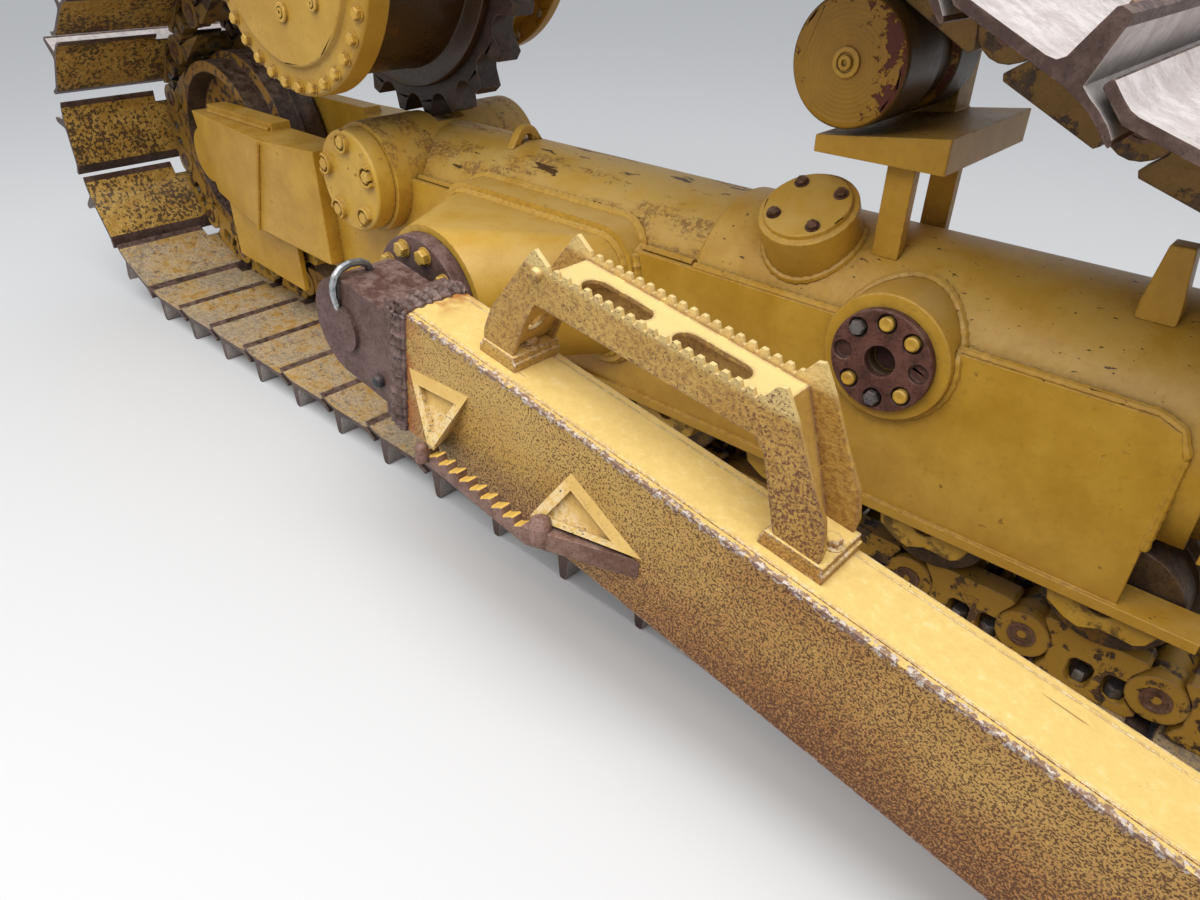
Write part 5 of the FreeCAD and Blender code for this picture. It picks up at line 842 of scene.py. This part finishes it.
# Top step: flame-cut plates folded into a box with teeth for the boots. The teeth are rubbed
# pale, rust peppers the outer sides, most on the front leg, and the outer edges are chipped
# purple. The inner side plate stays clean.
INNER_PLATE = -0.600
BOOT_PALE = (244, 218, 148)
finish = Finish("step_enamel")
low, high = (186, 142, 62), (222, 184, 104)
rough, height = enamel(finish, low, high, top_dust_and_sheen=0.0, corner_shade=0.5, chips=0.2, worn=0.0)
along, level = on_arm(finish)
pepper = finish.noise(120.0, 4.0, 0.62)
outer = finish.outward(0.4, 0.8)
brown = ((pepper - 0.50) * 12.0).clipped() * outer
finish.lay(outer * 0.30, (176, 130, 62))
finish.lay(brown * 0.50, (128, 84, 34))
toe = finish.upward(0.3, 0.8)
finish.lay(toe * 0.75, BOOT_PALE)
tips = level.ramp(0.312, 0.328)
finish.lay(tips * 0.6, (240, 214, 146))
front_leg = along.ramp(0.76, 0.88) * (1 - level.ramp(0.20, 0.34) * 0.7)
front_leg = front_leg * (finish.noise(14.0, 3.0) + 0.5)
clean = (finish.part(finish.where, Y) - INNER_PLATE).ramp(0.0, 0.02)
rusty_leg = (finish.noise(230.0, 3.0, 0.65) + front_leg * 0.10 - 0.58) * 16.0
rusty_leg = rusty_leg.clipped() * outer * (1 - clean)
finish.lay(rusty_leg * 0.85, (92, 38, 26))
rim = finish.edges(0.010) * finish.noise(60.0, 4.0, 0.65).ramp(0.38, 0.48) * (1 - tips * 0.7)
finish.lay(rim * 0.85, (110, 74, 66))
step_enamel = finish.steel(rough + 0.05, height * 0.5 + pepper * outer * 1.4, 0.0024)
dress(step_enamel, "top_step", rounding=0.0012)
button = [(-0.012, 0.0), (-0.011, 0.007), (-0.006, 0.0105), (0.006, 0.0105), (0.011, 0.007), (0.012, 0.0)]
knob = Maker(22)
knob.turned(button, arm_place @ Matrix.Translation((0.452, -0.028, 0.312)), 16)
knob.object("step_knob", "push_arm", [step_enamel])

# Side step: a rusty round-edged bar with nine wedge teeth filed into it, which still hold
# paint, hung on two pressed brackets with pale rubbed rims.
SIDE_SLOPE = radians(3.6)
BRACKET_FACE = -0.680
TOOTH_LIMIT = 0.565
finish = Finish("step_rust")
rough, height = casting(finish, (62, 34, 26), (108, 72, 56), (146, 112, 98))
along, level = on_arm(finish)
painted = finish.upward(0.25, 0.6) * (1 - along.ramp(TOOTH_LIMIT, TOOTH_LIMIT + 0.010))
painted = (painted * 0.6 + finish.noise(40.0, 4.0, 0.6) * 0.6).ramp(0.62, 0.72)
finish.lay(painted, (226, 184, 88))
step_rust = finish.steel(rough - painted * 0.15, height * 1.2, 0.0022)
dress(step_rust, "side_step", rounding=0.003)
side_place = Matrix.Translation((BALL_X, BALL_Y, BALL_Z)) @ Matrix.Rotation(SIDE_SLOPE, 4, "Y")
finish = Finish("lump_rust")
lump_iron = casting(finish, (62, 34, 26), (108, 72, 56), (150, 116, 104))
lump_rust = finish.steel(*lump_iron, 0.0022)
# A lump's profile as share of its height, then share of its radius; its root is sunk in.
dome = [(0.3, 1.0), (0.7, 0.86), (0.93, 0.5), (1.0, 0.0)]
lumps = Maker(23)
for u, y, v, size, tall in ((0.586, -0.118, -0.100, 0.019, 0.026), (0.297, -0.124, -0.100, 0.012, 0.016)):
    place = side_place @ Matrix.Translation((u, y, v)) @ Matrix.Rotation(radians(90), 4, "X")
    skin = [(rise * tall, share * size) for rise, share in dome]
    lumps.turned([(-0.02, 0.0), (-0.02, size), *skin], place, 20)
lumps.object("step_lumps", "push_arm", [lump_rust])
finish = Finish("bracket_enamel")
low, high = (206, 164, 84), (234, 198, 120)
rough, height = enamel(finish, low, high, top_dust_and_sheen=0.0, corner_shade=0.5, chips=0.4, worn=0.0)
standing = (finish.part(finish.where, Y) * -1).ramp(-BRACKET_FACE, -BRACKET_FACE + 0.010)
rubbed = standing * finish.noise(140.0, 4.0, 0.6).ramp(0.40, 0.55)
finish.lay(rubbed * 0.4, (240, 224, 190))
speck = finish.noise(130.0, 3.0, 0.6).ramp(0.63, 0.67) * (standing * 0.8 + 0.2)
finish.lay(speck * 0.8, (104, 74, 62))
bracket_paint = finish.steel(rough, height - speck, 0.0016)
dress(bracket_paint, "side_step_brackets")

# Track chain: drop-forged links in two strands, joined by pins and bushings. It hangs
# slack between the sprocket, which is black with grease, the carrier roller and the front
# idler. The links keep some paint between their edges.
PITCH = 0.216
LINKS = 43
SEAT = 0.068
RAIL = 0.060
SHOE_PLATE = 0.013
GROUSER = 0.066
IDLER_RADIUS = 0.284
RUNNING_GAP = 0.0003
SPROCKET_PLACES = 23
CARRIER_RADIUS = 0.097
CARRIER_SLACK = 0.013
FORE_SAG = 1.7
AFT_SAG = 4.3
FIRST_PIN = -0.006
FINE_STEP = 0.002


def middle_of(node):
    low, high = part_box(node)
    return Vector(((low.x + high.x) / 2, 0.0, (low.z + high.z) / 2))


def heading(vector):
    return atan2(vector.z, vector.x)


def hang(first, first_radius, second, second_radius, bend):
    """Centre of the hanging curve that rests on two round things."""
    reach_a = bend + first_radius
    reach_b = bend + second_radius
    gap = second - first
    along = (reach_a ** 2 - reach_b ** 2 + gap.length ** 2) / (2 * gap.length)
    unit = gap.normalized()
    side = Vector((-unit.z, 0.0, unit.x))
    side *= 1 if side.z > 0 else -1
    return first + unit * along + side * sqrt(reach_a ** 2 - along ** 2)


def chain_pins():
    """Pins one pitch apart along the curve that the chain takes round its wheels."""
    bottom = GROUND + GROUSER + SHOE_PLATE + SEAT
    idler_circle = hypot(IDLER_RADIUS + RUNNING_GAP + RAIL, PITCH / 2)
    drive_circle = PITCH / (2 * sin(2 * pi / SPROCKET_PLACES))
    carrier_circle = CARRIER_RADIUS + RAIL + CARRIER_SLACK
    front = middle_of("front_idler")
    rear = middle_of("rear_idler")
    drive = middle_of("final_drive_cover")
    carrier = Vector((CARRIER.x, 0.0, CARRIER.z))
    fore = hang(carrier, carrier_circle, front, idler_circle, FORE_SAG)
    aft = hang(drive, drive_circle, carrier, carrier_circle, AFT_SAG)
    drop = drive - rear
    leave = heading(drop) + asin((drive_circle - idler_circle) / drop.length) + pi / 2
    start = Vector((FIRST_PIN, 0.0, bottom))
    # A straight run is its two ends; a bend is its centre, radius and two angles.
    runs = [
        (start, Vector((front.x, 0.0, bottom))),
        (front, idler_circle, -pi / 2, heading(fore - front)),
        (fore, FORE_SAG, heading(fore - front) + pi, heading(fore - carrier) + pi),
        (carrier, carrier_circle, heading(fore - carrier), heading(aft - carrier)),
        (aft, AFT_SAG, heading(aft - carrier) + pi, heading(aft - drive) + pi),
        (drive, drive_circle, heading(aft - drive), leave),
        (spoke(drive, drive_circle, leave), spoke(rear, idler_circle, leave)),
        (rear, idler_circle, leave, 1.5 * pi),
        (Vector((rear.x, 0.0, bottom)), start),
    ]
    fine = []
    for run in runs:
        straight = len(run) == 2
        length = (run[1] - run[0]).length if straight else abs(run[3] - run[2]) * run[1]
        steps = max(2, int(length / FINE_STEP))
        for step in range(steps):
            share = step / steps
            fine.append(run[0].lerp(run[1], share) if straight
                        else spoke(run[0], run[1], run[2] + (run[3] - run[2]) * share))
    fine.append(start)
    pins = [start]
    for before, after in zip(fine, fine[1:]):
        far = (after - pins[-1]).length
        if far >= PITCH and len(pins) < LINKS:
            near = (before - pins[-1]).length
            pins.append(before.lerp(after, (PITCH - near) / (far - near)))
    return pins


pins = chain_pins()


def link_place(index):
    """Along the link from its rear pin, across the track, and out to the shoe."""
    along = (pins[(index + 1) % LINKS] - pins[index]).normalized()
    out = Vector((along.z, 0.0, -along.x))
    place = Matrix((along, ACROSS, out)).transposed().to_4x4()
    return Matrix.Translation(pins[index]) @ place


finish = Finish("chain_steel")
rough, height = casting(finish, (28, 20, 15), (62, 45, 32), (104, 78, 50))
left = finish.noise(17.0, 5.0, 0.66).ramp(0.42, 0.47)
low_down = finish.part(finish.where, Z).ramp(-0.5, 0.1)
kept = left * (1 - finish.edges(0.006) * 0.7) * (1 - low_down * 0.55)
finish.lay(kept * 0.82, (196, 150, 54))
chain_steel = finish.steel(rough - 0.12, height + left * 0.5, 0.0015, metal=0.1)
pin_rust = rusty_steel("pin_rust", (38, 22, 16), (92, 60, 42), (128, 94, 72), metal=0.2)
links = Maker(24)
discs = Maker(25)
nuts = Maker(26)
# A link's inner and outer faces, at its strand, at its pin's end and at its bushing's end.
WIDTHS = ((0.067, 0.113), (0.091, 0.116), (0.064, 0.0895))
BOLT_SIDE = 0.090
NUT_FACE = 0.0495
# The bolts' windows sit between the shoe's seat and the rail.
window_places = (0.102, 0.158)
waist = [(0.046, 0.030), (0.030, 0.060), (0.040, SEAT), (0.188, SEAT), (0.200, 0.056), (0.176, 0.030),
         (0.172, -0.020), (0.190, -0.052), (0.184, -RAIL), (0.030, -RAIL), (0.024, -0.052), (0.044, -0.020)]
window = [(-0.020, 0.004), (-0.020, 0.038), (-0.013, 0.050), (0.013, 0.050), (0.020, 0.038),
          (0.020, 0.004), (0.012, -0.004), (-0.012, -0.004)]
windows = [[(centre + x, z) for x, z in window] for centre in window_places]
disc = [(0.112, 0.0), (0.112, 0.0245), (0.1185, 0.0245), (0.1185, 0.019),
        (0.1165, 0.018), (0.1165, 0.008), (0.1145, 0.007), (0.1145, 0.0)]
bushing = [(-0.066, 0.0), (-0.066, 0.031), (0.066, 0.031), (0.066, 0.0)]
for index in range(LINKS):
    place = link_place(index)
    for side in (-1, 1):
        strand, pin_end, bushing_end = (sorted((side * low, side * high)) for low, high in WIDTHS)
        links.slab(waist, *strand, place, windows)
        links.slab(ring_points(0.0, 0.0, 0.047, 20), *pin_end, place)
        links.slab(ring_points(PITCH, 0.0, 0.045, 20), *bushing_end, place)
        discs.turned([(side * out, radius) for out, radius in disc], place, 20)
        for centre in window_places:
            foot = seat(Vector((centre, side * BOLT_SIDE, NUT_FACE)), -UP)
            nuts.bolt(place @ foot, radius=0.0165, height=0.022)
    links.turned(bushing, place, 20)
links.object("track_links", "track_frame", [chain_steel], ["track_chain"], 0.0025)
discs.object("pin_discs", "track_frame", [pin_rust])
nuts.object("shoe_nuts", "track_frame", [grey_steel], smooth=False)
tooth_grease = rusty_steel("sprocket_grease", (20, 14, 12), (44, 31, 26), (74, 55, 46), metal=0.1)
dress(tooth_grease, "sprocket", rounding=0.003)

# Wide shoes: rolled steel plates, each with one bar for grip, a lip that laps under the
# next shoe and four bolts into its links. Paint and silt stay on their inner sides; the
# outer sides are scoured pale, with dark edges.
HALF_SHOE = 0.457
HEAD_FACE = 0.0805
SCOURED_LOW = (186, 175, 171)
SCOURED_HIGH = (214, 206, 202)
# The section as along the link, out from its pins and which steel shows from there on.
OUT, IN, DARK = 0, 1, 2
section = [
    (0.036, 0.078, OUT), (0.040, 0.135, OUT), (0.043, 0.146, DARK), (0.048, 0.147, DARK),
    (0.055, 0.147, DARK), (0.059, 0.144, DARK), (0.063, 0.118, OUT), (0.067, 0.090, OUT),
    (0.073, 0.083, OUT), (0.084, 0.081, OUT), (0.182, 0.081, OUT), (0.192, 0.083, OUT),
    (0.204, 0.089, OUT), (0.2195, 0.0985, OUT), (0.2225, 0.0985, DARK), (0.2262, 0.0912, DARK),
    (0.2255, 0.0878, DARK), (0.206, 0.0765, DARK), (0.191, 0.068, DARK), (0.048, 0.068, IN),
    (0.030, 0.0655, IN), (0.015, 0.062, IN), (-0.004, 0.055, IN), (-0.017, 0.049, DARK),
    (-0.021, 0.048, DARK), (-0.0225, 0.0515, DARK), (-0.019, 0.056, DARK), (-0.006, 0.064, OUT),
    (0.010, 0.070, OUT), (0.024, 0.0735, OUT)]
stains = [row[2] for row in section]
whole = [row[:2] for row in section]
# Over the chain the ten points of the lip are drawn back, clear of the next link.
tail = [(0.034, 0.0665), (0.026, 0.0668), (0.021, 0.0668), (0.0185, 0.0672), (0.0178, 0.068),
        (0.0178, 0.0692), (0.0185, 0.0702), (0.021, 0.0716), (0.0235, 0.0728), (0.0265, 0.0742)]
notched = whole[:-len(tail)] + tail
near_edge = [(-HALF_SHOE, whole), (-0.152, whole), (-0.145, notched), (-0.080, notched), (-0.073, whole)]
far_edge = [(-across, profile) for across, profile in reversed(near_edge)]


def shoe_steel(name, outside):
    finish = Finish(name)
    broad = finish.noise(5.0, 5.0, 0.6)
    cloud = finish.noise(34.0, 6.0, 0.72)
    fine = finish.noise(160.0, 4.0, 0.65)
    if outside:
        finish.colour = finish.mix(cloud.ramp(0.38, 0.62), SCOURED_LOW, SCOURED_HIGH)
        finish.lay(fine.ramp(0.56, 0.70) * 0.4, (128, 104, 94))
        stained = broad.ramp(0.50, 0.66) * cloud.ramp(0.46, 0.6) * 0.7
        finish.lay(stained, (122, 92, 82))
    else:
        finish.colour = finish.mix(cloud.ramp(0.40, 0.60), (184, 140, 58), (212, 172, 88))
        wear = (broad * 0.5 + finish.noise(85.0, 4.0, 0.66) * 0.7).ramp(0.61, 0.64)
        finish.lay(wear * 0.88, (60, 42, 32))
        silt = finish.upward(0.3, 0.95) * (broad * 0.4 + cloud * 0.6).ramp(0.36, 0.56)
        finish.lay(silt * 0.75, (192, 176, 152))
        peppered = fine.ramp(0.55, 0.62) * cloud.ramp(0.42, 0.56)
        finish.lay(peppered * 0.7, (74, 52, 34))
    # Painted shade: corners that the occlusion mask finds are darkened.
    corner = finish.hollow(0.05)
    finish.lay(corner * 0.55, (52, 38, 30))
    rough = 0.55 + (fine - 0.5) * 0.4
    return finish.steel(rough, cloud * 0.8 + fine * 0.5, 0.001 if outside else 0.0018)


outer_steel = shoe_steel("shoe_outside", outside=True)
inner_steel = shoe_steel("shoe_inside", outside=False)
dark_edge = rusty_steel("shoe_edge", (34, 22, 18), (70, 48, 40), (104, 82, 74), metal=0.15)
head = [(-0.001, 0.0), (-0.001, 0.022), (0.013, 0.0215), (0.017, 0.018), (0.017, 0.0)]
shoes = Maker(27)
bolts = Maker(28)
for index in range(LINKS):
    place = link_place(index)
    rings = [[place @ Vector((x, across, z)) for x, z in profile] for across, profile in near_edge + far_edge]
    shoes.loft(rings, stains)
    for along in window_places:
        for across in (-BOLT_SIDE, BOLT_SIDE):
            foot = seat(Vector((along, across, HEAD_FACE)), UP, bolts.draw.uniform(0.6, 1.0))
            bolts.turned(head, place @ foot, 4)
shoes.object("wide_shoes", "track_frame", [outer_steel, inner_steel, dark_edge],
             ["track_shoes"], 0.002)
bolts.object("shoe_bolts", "track_frame", [pin_rust], smooth=False)
